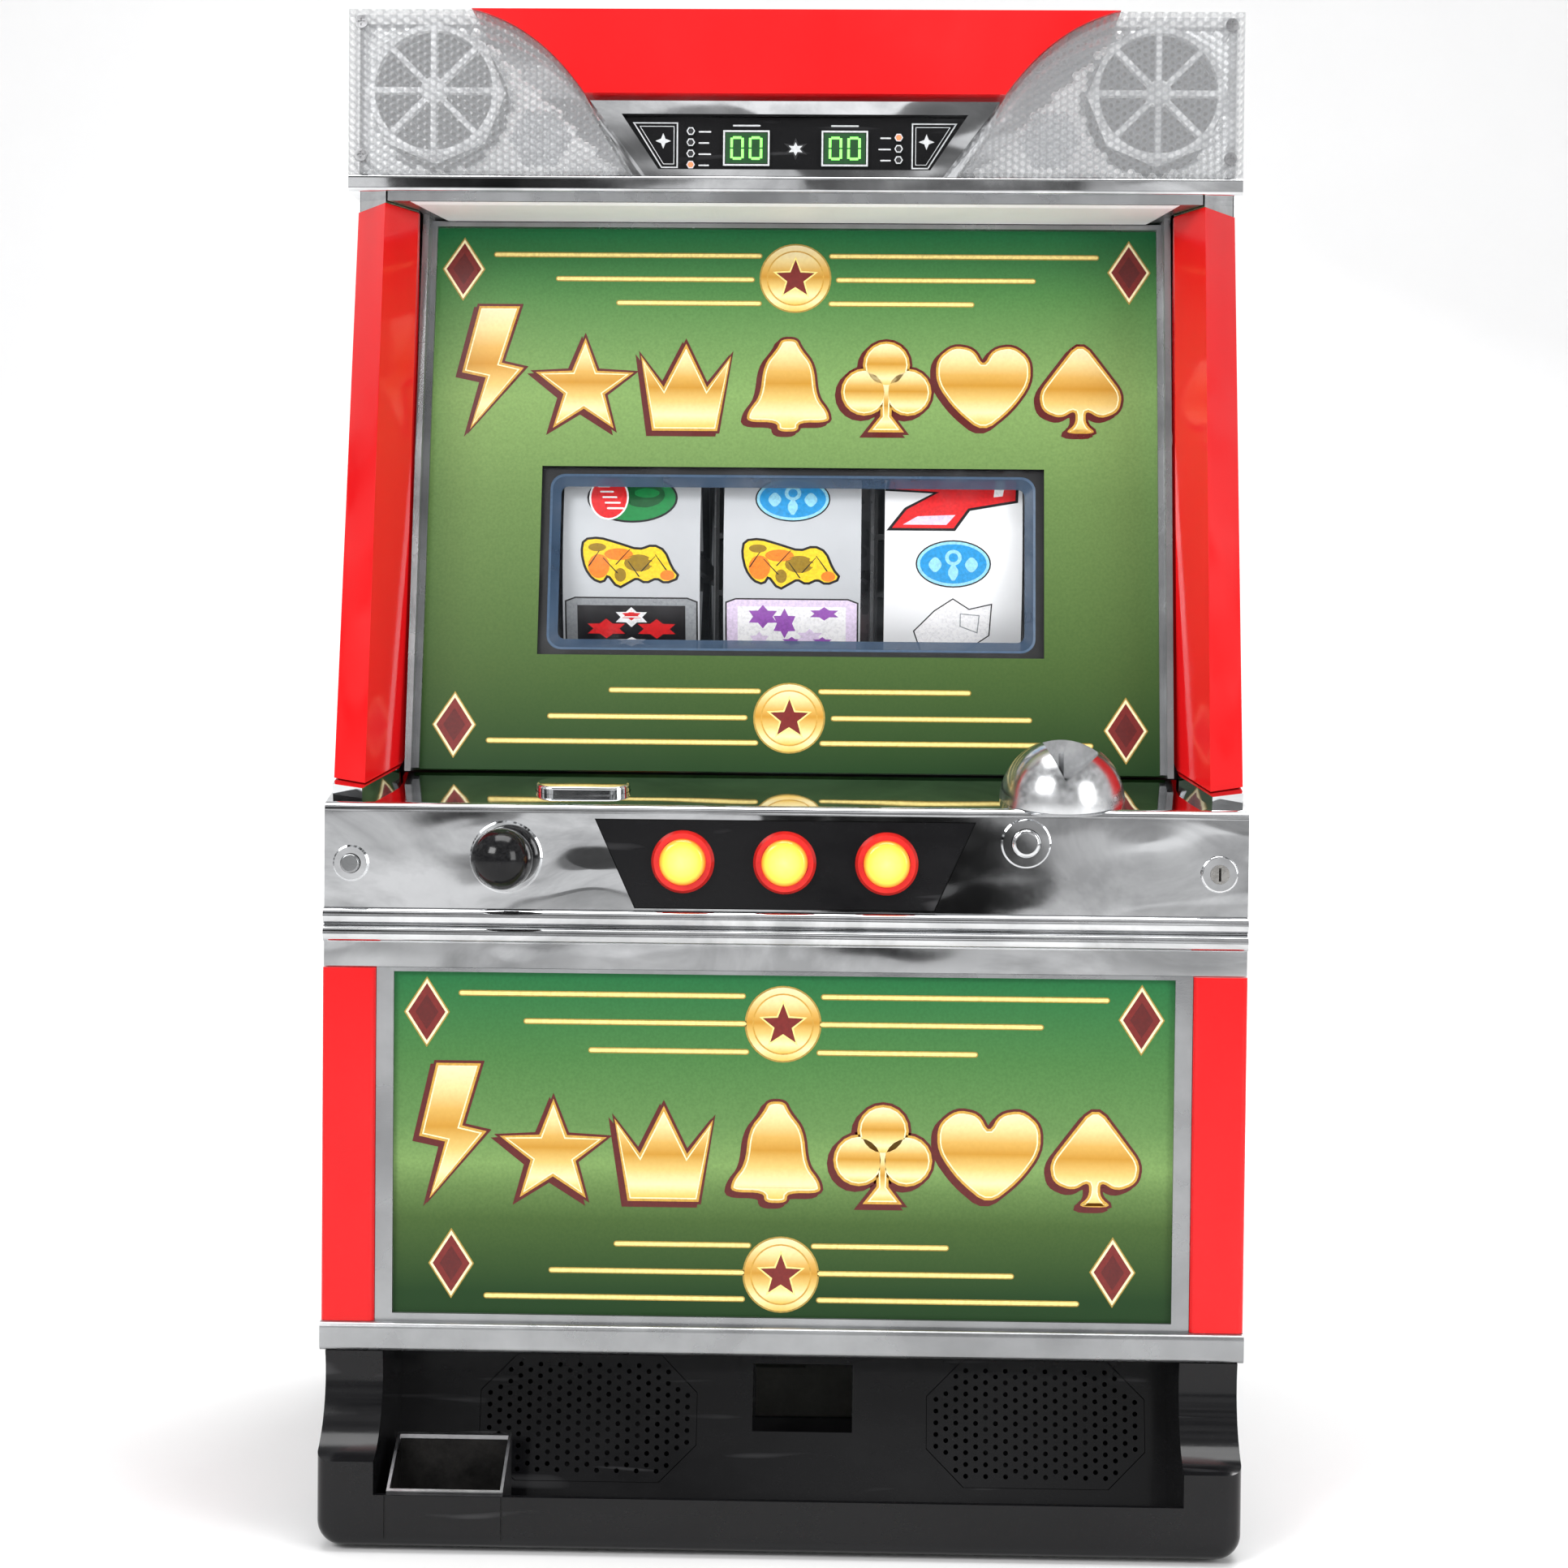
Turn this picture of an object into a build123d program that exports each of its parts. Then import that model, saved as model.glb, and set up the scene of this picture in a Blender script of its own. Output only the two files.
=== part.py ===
from build123d import *
import math
import os

# Pachislot machine: a medal game in a free-standing cabinet. The wooden cabinet stands on the
# floor and holds the reel unit, the boards, the power supply, the hopper and the overflow tank.
# The whole front is a door on two hinges at the left, and it carries the lamps, the display, the
# printed panels, the control desk and the medal tray.
# Millimetres. +X is the player's right, -Y the front, +Z up. The origin is on the floor, under
# the middle of the machine.

os.makedirs("parts", exist_ok=True)

# ---------------------------------------------------------------- driving dimensions
WIDTH = 480.0                 # over the cabinet's sides
HEIGHT = 810.0                # floor to cabinet top
DEPTH = 450.0                 # cabinet back to tray lip
CABINET_DEPTH = 272.0         # cabinet without the door
BOARD = 12.0                  # side, top and bottom boards
BACK_BOARD = 9.0
FIT = 0.3                     # gap between pieces that move past each other or drop in
RUNNING = 0.05                # radial clearance of a shaft in its bore

DOOR_GAP = 3.0                # closed door to cabinet front
DOOR_EDGE = 2.0               # door's edge above the floor and below the cabinet top
DOOR_FRAME_DEPTH = 42.0
DOOR_WALL = 4.0
STILE = 28.0                  # width of the door frame's uprights
SHELL = 3.0                   # wall of the moulded covers

TOP_UNIT = 97.0               # height of the lamp and speaker unit, rail included
TOP_RAIL = 9.0                # silver rail under it
TOP_REACH = 38.0              # its reach in front of the door frame
LENS_BOTTOM = 763.0 - 808.0   # red top lens, down from the door's top edge

DESK_REACH = 98.0             # control desk in front of the door frame
DESK_BOTTOM = 298.0
DESK_FRONT_TOP = 383.0        # height of the desk's front edge
LEDGE_BACK_RISE = 15.0        # the ledge rises this much towards the reel panel
LEDGE_DEPTH = 62.5            # front edge to the foot of the reel panel
PANEL_LEAN_RUN = 60.0         # the reel panel's top is this far behind its foot
PANEL_THICK = 4.0
PANEL_SIDE = 34.0             # door edge to the reel panel's edge

TRAY_TOP = 98.0
LOWER_RAIL = 15.0             # chrome rail between tray and lower panel
LOWER_LENS = 28.0             # width of the red lamps beside the lower panel
TRAY_LIP = 30.0               # height of the tray's front lip
TRAY_CHEEK = 30.0             # width of the tray's end cheeks
TRAY_WALL = 4.0

REEL_RADIUS = 120.0
REEL_WIDTH = 76.0
REEL_PITCH = 89.0
REEL_Z = 515.0
REEL_FRONT_GAP = 12.0         # reel strip to the back of the reel panel, at the axle's height
STRIP_THICK = 0.6
AXLE_RADIUS = 3.0
WINDOW_WIDTH = 272.0
WINDOW_HEIGHT = 104.0         # measured up the leaning panel

HINGE_HEIGHTS = (60.0, HEIGHT - 70.0)
HINGE_PIN_RADIUS = 4.0
HINGE_INSET = 7.0             # pin axis in from the door's left edge
HINGE_DEPTH = 18.0            # pin axis in front of the door's back plane
HINGE_TAB = 4.0               # thickness of the hinge leaves
KEEPER_HEIGHTS = (230.0, HEIGHT - 250.0)
LOCK_TRAVEL = 12.0            # stroke of the lock bar

STOP_SPACING = 53.0
STOP_Z = 354.5
STOP_RADIUS = 12.0
STOP_RING_RADIUS = 16.4
PRESS_TRAVEL = 3.0            # stroke of every push button
LEVER_X, LEVER_Z = -145.0, 356.0
LEVER_BALL = 16.0
SETTLE_X, SETTLE_Z = -226.0, 352.0
RETURN_X, RETURN_Z = 125.0, 366.0
KEY_X, KEY_Z = 225.0, 351.0
BET_X, BET_WIDTH, BET_DEPTH = -108.0, 50.0, 20.0
SLOT_X, SLOT_UP, SLOT_RADIUS, SLOT_HEIGHT = 145.0, 26.5, 33.0, 31.0
MEDAL_RADIUS, MEDAL_THICK = 12.5, 1.7

GRILLE_CENTRES = (-105.0, 137.0)
GRILLE_WIDTH, GRILLE_HEIGHT = 118.0, 68.0
GRILLE_PITCH, GRILLE_HOLE = 6.2, 1.3
PAYOUT_X, PAYOUT_WIDTH, PAYOUT_HEIGHT = 11.0, 54.0, 36.0
ASHTRAY_X, ASHTRAY_WIDTH, ASHTRAY_DEPTH = -171.0, 60.0, 38.0

# ---------------------------------------------------------------- planes and places
HALF = WIDTH / 2
BACK = DEPTH / 2
LIP = -DEPTH / 2
CABINET_FRONT = BACK - CABINET_DEPTH
DOOR_BACK = CABINET_FRONT - DOOR_GAP
DOOR_FACE = DOOR_BACK - DOOR_FRAME_DEPTH
DOOR_BOTTOM = DOOR_EDGE
DOOR_TOP = HEIGHT - DOOR_EDGE
INSIDE = HALF - BOARD                       # inner face of the cabinet's sides

TOP_FACE = DOOR_FACE - TOP_REACH
RAIL_BOTTOM = DOOR_TOP - TOP_UNIT
RAIL_TOP = RAIL_BOTTOM + TOP_RAIL
DESK_FACE = DOOR_FACE - DESK_REACH
LEDGE_BACK = DESK_FACE + LEDGE_DEPTH
LEDGE_BACK_Z = DESK_FRONT_TOP + LEDGE_BACK_RISE
PANEL_FOOT_Z = LEDGE_BACK_Z + 1.0
PANEL_TOP_Z = RAIL_BOTTOM - 7.0
PANEL_RISE = PANEL_TOP_Z - PANEL_FOOT_Z
PANEL_LENGTH = math.hypot(PANEL_LEAN_RUN, PANEL_RISE)
PANEL_HALF = HALF - PANEL_SIDE
LEAN_SIN = PANEL_LEAN_RUN / PANEL_LENGTH
LEAN_COS = PANEL_RISE / PANEL_LENGTH
LOWER_RAIL_TOP = TRAY_TOP + LOWER_RAIL
LOWER_HALF = HALF - LOWER_LENS

# The reel panel's front face, the desk's ledge and the tray's back wall lie on slanted planes.
PANEL_PLANE = Plane(
    origin=(0, LEDGE_BACK, PANEL_FOOT_Z), x_dir=(1, 0, 0), z_dir=(0, -LEAN_COS, LEAN_SIN)
)
LEDGE_LENGTH = math.hypot(LEDGE_DEPTH, LEDGE_BACK_RISE)
LEDGE_SIN = LEDGE_BACK_RISE / LEDGE_LENGTH
LEDGE_COS = LEDGE_DEPTH / LEDGE_LENGTH
LEDGE_PLANE = Plane(
    origin=(0, DESK_FACE, DESK_FRONT_TOP), x_dir=(1, 0, 0), z_dir=(0, -LEDGE_SIN, LEDGE_COS)
)
TRAY_FLOOR = 8.0
TRAY_FOOT = LIP + 79.0                      # foot of the tray's back wall
TRAY_RUN = 26.0                             # how far the wall leans back up to the tray's top
TRAY_LENGTH = math.hypot(TRAY_RUN, TRAY_TOP - TRAY_FLOOR)
TRAY_SIN = TRAY_RUN / TRAY_LENGTH
TRAY_COS = (TRAY_TOP - TRAY_FLOOR) / TRAY_LENGTH
TRAY_PLANE = Plane(
    origin=(0, TRAY_FOOT, TRAY_FLOOR), x_dir=(1, 0, 0), z_dir=(0, -TRAY_COS, TRAY_SIN)
)

# Reel axle: behind the panel's back face by the gap and the radius.
REEL_UP = (REEL_Z - PANEL_FOOT_Z) / LEAN_COS                # up the panel to the axle's height
PANEL_Y_AT_REEL = LEDGE_BACK + REEL_UP * LEAN_SIN
REEL_Y = PANEL_Y_AT_REEL + PANEL_THICK / LEAN_COS + REEL_FRONT_GAP + REEL_RADIUS
REEL_XS = {"left": -REEL_PITCH, "center": 0.0, "right": REEL_PITCH}

HINGE_X = -HALF + HINGE_INSET
HINGE_Y = DOOR_BACK - HINGE_DEPTH


def front_plane(y):
    """The upright plane at depth y, drawn on with x to the right and z up, facing the player."""
    return Plane.XZ.offset(-y)


def side_plane(x):
    """The upright plane at x, drawn on with y and z, facing right."""
    return Plane.YZ.offset(x)


def block(x0, x1, y0, y1, z0, z1, mode=Mode.ADD):
    """Adds the box between two corners to the part that is open."""
    with Locations(((x0 + x1) / 2, (y0 + y1) / 2, (z0 + z1) / 2)):
        return Box(abs(x1 - x0), abs(y1 - y0), abs(z1 - z0), mode=mode)


def rectangle(x0, x1, z0, z1, mode=Mode.ADD):
    """Adds the rectangle between two corners to the sketch that is open."""
    with Locations(((x0 + x1) / 2, (z0 + z1) / 2)):
        return Rectangle(abs(x1 - x0), abs(z1 - z0), mode=mode)


def outline(*points, mode=Mode.ADD):
    """Adds the polygon through the points to the sketch that is open."""
    with BuildLine(mode=Mode.PRIVATE) as edge:
        Polyline(*points, close=True)
    return make_face(edge.edges(), mode=mode)


def rod(x, z, radius, y0, y1, mode=Mode.ADD):
    """Adds a round bar along Y, from depth y0 to y1, to the part that is open."""
    with Locations(Location((x, (y0 + y1) / 2, z), (90, 0, 0))):
        return Cylinder(radius, abs(y1 - y0), mode=mode)


def save(builder, name):
    """Labels a finished piece and writes it to a STEP file of its own."""
    builder.part.label = name
    export_step(builder.part, f"parts/{name}.step")


# ================================================================ cabinet
for side_name, sign in (("left", -1), ("right", 1)):
    with BuildPart() as cabinet_side:
        block(sign * INSIDE, sign * HALF, CABINET_FRONT, BACK, 0, HEIGHT)
        front_edges = cabinet_side.faces().sort_by(Axis.Y)[0].edges().filter_by(Axis.Z)
        chamfer(front_edges, length=0.8)
    save(cabinet_side, f"cabinet_{side_name}_side")

with BuildPart() as cabinet_top:
    block(-INSIDE, INSIDE, CABINET_FRONT, BACK, HEIGHT - BOARD, HEIGHT)
save(cabinet_top, "cabinet_top")

with BuildPart() as cabinet_bottom:
    block(-INSIDE, INSIDE, CABINET_FRONT, BACK, 0, BOARD)
save(cabinet_bottom, "cabinet_bottom")

# The back board has two groups of vent slots and a hole for the mains lead.
VENT_LENGTH, VENT_HEIGHT, VENT_PITCH, VENT_COUNT = 120.0, 7.0, 16.0, 7
CABLE_HOLE = 20.0
with BuildPart() as cabinet_back:
    block(-INSIDE, INSIDE, BACK - BACK_BOARD, BACK, BOARD, HEIGHT - BOARD)
    with BuildSketch(front_plane(BACK)):
        with Locations((0, HEIGHT - 150)):
            with GridLocations(INSIDE, VENT_PITCH, 2, VENT_COUNT):
                SlotOverall(VENT_LENGTH, VENT_HEIGHT)
        with Locations((-INSIDE + 45, 70)):
            Circle(CABLE_HOLE)
    extrude(amount=BACK_BOARD, mode=Mode.SUBTRACT)
save(cabinet_back, "cabinet_back")

# Two hinge brackets on the left side board. Each tab reaches out past the cabinet's front and
# carries an upright pin, and the door's hinge plate hangs over it.
PIN_HEIGHT = 16.0
BRACKET_HEIGHT = 25.0
with BuildPart() as cabinet_hinges:
    for height in HINGE_HEIGHTS:
        block(-INSIDE, -INSIDE + 3, CABINET_FRONT + 5, 20, height - BRACKET_HEIGHT, height)
        with BuildSketch(Plane.XY.offset(height)):
            outline(
                (-INSIDE, 20),
                (-INSIDE + 16, 20),
                (-INSIDE + 16, HINGE_Y + 6),
                (HINGE_X + 7, HINGE_Y - 11),
                (HINGE_X - 6, HINGE_Y - 11),
                (HINGE_X - 6, CABINET_FRONT - DOOR_GAP),
                (-INSIDE, CABINET_FRONT - DOOR_GAP),
            )
        extrude(amount=HINGE_TAB)
        with BuildSketch(Plane.XY.offset(height + HINGE_TAB)):
            with Locations((HINGE_X, HINGE_Y)):
                Circle(HINGE_PIN_RADIUS)
        extrude(amount=PIN_HEIGHT)
save(cabinet_hinges, "cabinet_hinges")

# Two keepers on the right side board. The lock bar's hooks drop behind their cross tabs.
KEEPER_TAB_Y = -30.0
KEEPER_RISE = 5.0
with BuildPart() as lock_keepers:
    for height in KEEPER_HEIGHTS:
        block(INSIDE - 2, INSIDE, KEEPER_TAB_Y, 15, height - 20, height + KEEPER_RISE)
        block(
            INSIDE - 16, INSIDE, KEEPER_TAB_Y, KEEPER_TAB_Y + 3, height - 20, height + KEEPER_RISE
        )
save(lock_keepers, "lock_keepers")

# ================================================================ reel unit
SHEET = 2.0
SHELF_Z = REEL_Z - REEL_RADIUS - 12
FRAME_TOP_Z = REEL_Z + REEL_RADIUS + 12
FRAME_FRONT = CABINET_FRONT + 6
FRAME_BACK = REEL_Y + REEL_RADIUS + 10
FRAME_HALF = 1.5 * REEL_PITCH + SHEET / 2

# The frame is a steel shelf across the cabinet with four uprights, a back and a top.
with BuildPart() as reel_frame:
    block(-INSIDE, INSIDE, FRAME_FRONT, FRAME_BACK, SHELF_Z - SHEET, SHELF_Z)
    for sign in (-1, 1):
        block(
            sign * (INSIDE - SHEET), sign * INSIDE, FRAME_FRONT, FRAME_BACK, SHELF_Z - 22, SHELF_Z
        )
    for number in range(4):
        x = (number - 1.5) * REEL_PITCH
        block(x - SHEET / 2, x + SHEET / 2, FRAME_FRONT, FRAME_BACK, SHELF_Z, FRAME_TOP_Z)
    block(-FRAME_HALF, FRAME_HALF, FRAME_BACK - SHEET, FRAME_BACK, SHELF_Z, FRAME_TOP_Z)
    block(-FRAME_HALF, FRAME_HALF, FRAME_FRONT, FRAME_BACK, FRAME_TOP_Z - SHEET, FRAME_TOP_Z)
save(reel_frame, "reel_frame")

# A stepper motor stands on the left-hand plate of each reel, with its shaft to the right.
MOTOR_RADIUS, MOTOR_LENGTH, SHAFT_END = 28.0, 24.0, 32.0
HUB_RADIUS, HUB_LENGTH = 12.0, 24.0
WEB = 4.0
with BuildPart() as reel_motors:
    for x in REEL_XS.values():
        plate_face = x - REEL_PITCH / 2 + SHEET / 2
        with BuildSketch(side_plane(plate_face)):
            with Locations((REEL_Y, REEL_Z)):
                Circle(MOTOR_RADIUS)
        extrude(amount=MOTOR_LENGTH)
        with BuildSketch(side_plane(plate_face + MOTOR_LENGTH)):
            with Locations((REEL_Y, REEL_Z)):
                Circle(AXLE_RADIUS)
        extrude(amount=x + SHAFT_END - plate_face - MOTOR_LENGTH)
save(reel_motors, "reel_motors")

# A lamp housing behind each reel's window, with one cell for each of the three symbols.
LAMP_FRONT = REEL_Y - REEL_RADIUS + 26
LAMP_HALF = 0.4 * REEL_RADIUS
LAMP_DEPTH = FRAME_FRONT + 10.4 - LAMP_FRONT
with BuildPart() as reel_lamps:
    for x in REEL_XS.values():
        left = x - REEL_PITCH / 2 + SHEET / 2
        right = x + REEL_WIDTH / 2 - 8
        block(left, right, LAMP_FRONT, LAMP_FRONT + LAMP_DEPTH, REEL_Z - LAMP_HALF, REEL_Z + LAMP_HALF)
        with BuildSketch(front_plane(LAMP_FRONT)):
            with Locations(((left + right) / 2, REEL_Z)):
                with GridLocations(1, 2 * LAMP_HALF / 3, 1, 3):
                    Rectangle(right - left - 4, 2 * LAMP_HALF / 3 - 3)
        extrude(amount=-(LAMP_DEPTH - 3), mode=Mode.SUBTRACT)
save(reel_lamps, "reel_lamps")

# Each reel is an open drum: a spoked wheel at the right, a plain rim at the left, and cross
# bars between them. The printed strip wraps round both rims.
RIM = 7.0
RIM_RADIUS = REEL_RADIUS - STRIP_THICK - 0.02
HALF_REEL = REEL_WIDTH / 2
for reel_name, x in REEL_XS.items():
    with BuildPart() as reel_drum:
        with BuildSketch(side_plane(x + HALF_REEL - WEB)):
            with Locations((REEL_Y, REEL_Z)):
                Circle(RIM_RADIUS)
                Circle(RIM_RADIUS - RIM, mode=Mode.SUBTRACT)
                Circle(HUB_RADIUS)
                with PolarLocations(RIM_RADIUS / 2, 6):
                    Rectangle(RIM_RADIUS - RIM / 2, 9)
        extrude(amount=WEB)
        with BuildSketch(side_plane(x + HALF_REEL - HUB_LENGTH)):
            with Locations((REEL_Y, REEL_Z)):
                Circle(HUB_RADIUS)
        extrude(amount=HUB_LENGTH)
        with BuildSketch(side_plane(x - HALF_REEL)):
            with Locations((REEL_Y, REEL_Z)):
                Circle(RIM_RADIUS)
                Circle(RIM_RADIUS - RIM, mode=Mode.SUBTRACT)
        extrude(amount=WEB)
        with BuildSketch(side_plane(x - HALF_REEL + WEB)):
            with Locations((REEL_Y, REEL_Z)):
                with PolarLocations(RIM_RADIUS - RIM / 2, 6, start_angle=30):
                    Rectangle(RIM - 3, 6)
        extrude(amount=REEL_WIDTH - 2 * WEB)
        with BuildSketch(side_plane(x + HALF_REEL - HUB_LENGTH)):
            with Locations((REEL_Y, REEL_Z)):
                Circle(AXLE_RADIUS + RUNNING)
        extrude(amount=SHAFT_END - HALF_REEL + HUB_LENGTH + 0.5, mode=Mode.SUBTRACT)
    save(reel_drum, f"reel_{reel_name}_drum")

    with BuildPart() as reel_strip:
        with BuildSketch(side_plane(x - HALF_REEL)):
            with Locations((REEL_Y, REEL_Z)):
                Circle(REEL_RADIUS)
                Circle(REEL_RADIUS - STRIP_THICK, mode=Mode.SUBTRACT)
        extrude(amount=REEL_WIDTH)
    save(reel_strip, f"reel_{reel_name}_strip")

# ================================================================ boards, power and medals
# The main board's sealed case hangs on the back board above the reels.
CASE_WIDTH, CASE_HEIGHT, CASE_DEPTH = 300.0, 112.0, 44.0
CASE_BOTTOM = FRAME_TOP_Z + 14
BACK_FACE = BACK - BACK_BOARD
with BuildPart() as main_board_case:
    case_top = CASE_BOTTOM + CASE_HEIGHT
    block(-CASE_WIDTH / 2, CASE_WIDTH / 2, BACK_FACE - CASE_DEPTH, BACK_FACE, CASE_BOTTOM, case_top)
    fillet(main_board_case.faces().sort_by(Axis.Y)[0].edges(), radius=4)
    with BuildSketch(front_plane(BACK_FACE - CASE_DEPTH + 0.8)):
        with Locations((0, CASE_BOTTOM + CASE_HEIGHT / 2)):
            with GridLocations(24, 1, 11, 1):
                Rectangle(8, CASE_HEIGHT - 30)
    extrude(amount=1.8)
save(main_board_case, "main_board_case")

# Power supply: a steel box at the left with a vented front, a mains inlet and a rocker switch.
POWER_FRONT, POWER_BACK = 40.0, 190.0
POWER_LEFT, POWER_RIGHT = -INSIDE + 6, -INSIDE + 92
POWER_TOP = 170.0
SWITCH_X, SWITCH_Z = POWER_RIGHT - 22, 146.0
SWITCH_WIDTH, SWITCH_HEIGHT, SWITCH_WELL = 22.0, 16.0, 9.0
ROCKER_PIVOT_Y, ROCKER_PIN_RADIUS = POWER_FRONT + 2, 1.2
INLET_X, INLET_Z = POWER_LEFT + 24, 146.0
with BuildPart() as power_supply:
    block(POWER_LEFT, POWER_RIGHT, POWER_FRONT, POWER_BACK, BOARD, POWER_TOP)
    with BuildSketch(front_plane(POWER_FRONT)):
        with Locations(((POWER_LEFT + POWER_RIGHT) / 2, 75)):
            with GridLocations(1, 10, 1, 9):
                SlotOverall(64, 4)
    extrude(amount=-2, mode=Mode.SUBTRACT)
    with BuildSketch(front_plane(POWER_FRONT)):
        with Locations((SWITCH_X, SWITCH_Z)):
            Rectangle(SWITCH_WIDTH, SWITCH_HEIGHT)
    extrude(amount=-SWITCH_WELL, mode=Mode.SUBTRACT)
    with BuildSketch(front_plane(POWER_FRONT)):
        with Locations((INLET_X, INLET_Z)):
            Rectangle(28, 20)
    extrude(amount=-16, mode=Mode.SUBTRACT)
    for pin_x in (-7, 0, 7):
        block(
            INLET_X + pin_x - 1, INLET_X + pin_x + 1, POWER_FRONT + 4, POWER_FRONT + 16,
            INLET_Z - 2, INLET_Z + 2,
        )
    with Locations((SWITCH_X, ROCKER_PIVOT_Y, SWITCH_Z)):
        Cylinder(ROCKER_PIN_RADIUS, SWITCH_WIDTH + 1, rotation=(0, 90, 0))
save(power_supply, "power_supply")

# Rocker: it turns about a pin across its well, and its face has two shallow slopes.
ROCKER_HALF = SWITCH_HEIGHT / 2 - 1.2
with BuildPart() as power_switch:
    with BuildSketch(side_plane(SWITCH_X - SWITCH_WIDTH / 2 + FIT)):
        outline(
            (POWER_FRONT - 2.5, SWITCH_Z - ROCKER_HALF),
            (POWER_FRONT - 0.8, SWITCH_Z),
            (POWER_FRONT - 2.5, SWITCH_Z + ROCKER_HALF),
            (POWER_FRONT + 3.0, SWITCH_Z + ROCKER_HALF - 1),
            (POWER_FRONT + 5.5, SWITCH_Z),
            (POWER_FRONT + 3.0, SWITCH_Z - ROCKER_HALF + 1),
        )
    extrude(amount=SWITCH_WIDTH - 2 * FIT)
    with Locations((SWITCH_X, ROCKER_PIVOT_Y, SWITCH_Z)):
        Cylinder(
            ROCKER_PIN_RADIUS + RUNNING, SWITCH_WIDTH, rotation=(0, 90, 0), mode=Mode.SUBTRACT
        )
save(power_switch, "power_switch")

# Hopper: a motor base with a turning disc on top, and a tank that feeds medals down to it.
HOPPER_X, HOPPER_Y = -6.0, 96.0
BASE_WIDTH, BASE_DEPTH, BASE_TOP = 170.0, 150.0, 66.0
DISC_RADIUS, DISC_THICK, DISC_WELL = 60.0, 6.0, 9.0
SPINDLE_RADIUS, SPINDLE_LENGTH = 5.0, 24.0
with BuildPart() as hopper_base:
    block(
        HOPPER_X - BASE_WIDTH / 2, HOPPER_X + BASE_WIDTH / 2,
        HOPPER_Y - BASE_DEPTH / 2, HOPPER_Y + BASE_DEPTH / 2, BOARD, BASE_TOP,
    )
    fillet(hopper_base.edges().filter_by(Axis.Z), radius=6)
    with BuildSketch(Plane.XY.offset(BASE_TOP)):
        with Locations((HOPPER_X, HOPPER_Y)):
            Circle(DISC_RADIUS + 2)
    extrude(amount=-DISC_WELL, mode=Mode.SUBTRACT)
    with BuildSketch(Plane.XY.offset(BASE_TOP - DISC_WELL)):
        with Locations((HOPPER_X, HOPPER_Y)):
            Circle(SPINDLE_RADIUS + RUNNING)
    extrude(amount=-SPINDLE_LENGTH - 1, mode=Mode.SUBTRACT)
    # The payout mouth at the front: paid medals leave here for the tray.
    block(
        HOPPER_X - 16, HOPPER_X + 16, HOPPER_Y - BASE_DEPTH / 2 - 1,
        HOPPER_Y - BASE_DEPTH / 2 + 12, BASE_TOP - 24, BASE_TOP - 14, mode=Mode.SUBTRACT,
    )
save(hopper_base, "hopper_base")

with BuildPart() as hopper_disc:
    disc_bottom = BASE_TOP - DISC_WELL + FIT
    with BuildSketch(Plane.XY.offset(disc_bottom)):
        with Locations((HOPPER_X, HOPPER_Y)):
            Circle(DISC_RADIUS)
            with PolarLocations(DISC_RADIUS - MEDAL_RADIUS - 5, 7):
                Circle(MEDAL_RADIUS + 0.8, mode=Mode.SUBTRACT)
    extrude(amount=DISC_THICK)
    with BuildSketch(Plane.XY.offset(disc_bottom - SPINDLE_LENGTH)):
        with Locations((HOPPER_X, HOPPER_Y)):
            Circle(SPINDLE_RADIUS)
    extrude(amount=SPINDLE_LENGTH)
    with BuildSketch(Plane.XY.offset(disc_bottom + DISC_THICK)):
        with Locations((HOPPER_X, HOPPER_Y)):
            Circle(14)
    extrude(amount=12, taper=35)
save(hopper_disc, "hopper_disc")

TANK_TOP = 235.0
TANK_FLARE = 18.0
TANK_WALL = 2.5
with BuildPart() as hopper_tank:
    with BuildSketch(Plane.XY.offset(BASE_TOP)):
        with Locations((HOPPER_X, HOPPER_Y)):
            RectangleRounded(BASE_WIDTH - 20, BASE_DEPTH - 10, 10)
    with BuildSketch(Plane.XY.offset(TANK_TOP)):
        with Locations((HOPPER_X, HOPPER_Y)):
            RectangleRounded(BASE_WIDTH + 2 * TANK_FLARE, BASE_DEPTH + TANK_FLARE, 14)
    loft()
    with BuildSketch(Plane.XY.offset(BASE_TOP + TANK_WALL)):
        with Locations((HOPPER_X, HOPPER_Y)):
            RectangleRounded(BASE_WIDTH - 20 - 2 * TANK_WALL, BASE_DEPTH - 10 - 2 * TANK_WALL, 8)
    with BuildSketch(Plane.XY.offset(TANK_TOP + 0.1)):
        with Locations((HOPPER_X, HOPPER_Y)):
            RectangleRounded(
                BASE_WIDTH + 2 * TANK_FLARE - 2 * TANK_WALL, BASE_DEPTH + TANK_FLARE - 2 * TANK_WALL, 12
            )
    loft(mode=Mode.SUBTRACT)
    with BuildSketch(Plane.XY.offset(BASE_TOP)):
        with Locations((HOPPER_X, HOPPER_Y)):
            Circle(DISC_RADIUS + 2)
    extrude(amount=TANK_WALL + 1, mode=Mode.SUBTRACT)
save(hopper_tank, "hopper_tank")

OVERFLOW_LEFT, OVERFLOW_RIGHT = 112.0, INSIDE - 5
OVERFLOW_FRONT, OVERFLOW_BACK, OVERFLOW_TOP = 10.0, 190.0, 170.0
with BuildPart() as overflow_tank:
    block(OVERFLOW_LEFT, OVERFLOW_RIGHT, OVERFLOW_FRONT, OVERFLOW_BACK, BOARD, OVERFLOW_TOP)
    fillet(overflow_tank.edges().filter_by(Axis.Z), radius=8)
    offset(amount=-TANK_WALL, openings=overflow_tank.faces().sort_by(Axis.Z)[-1])
save(overflow_tank, "overflow_tank")

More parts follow.
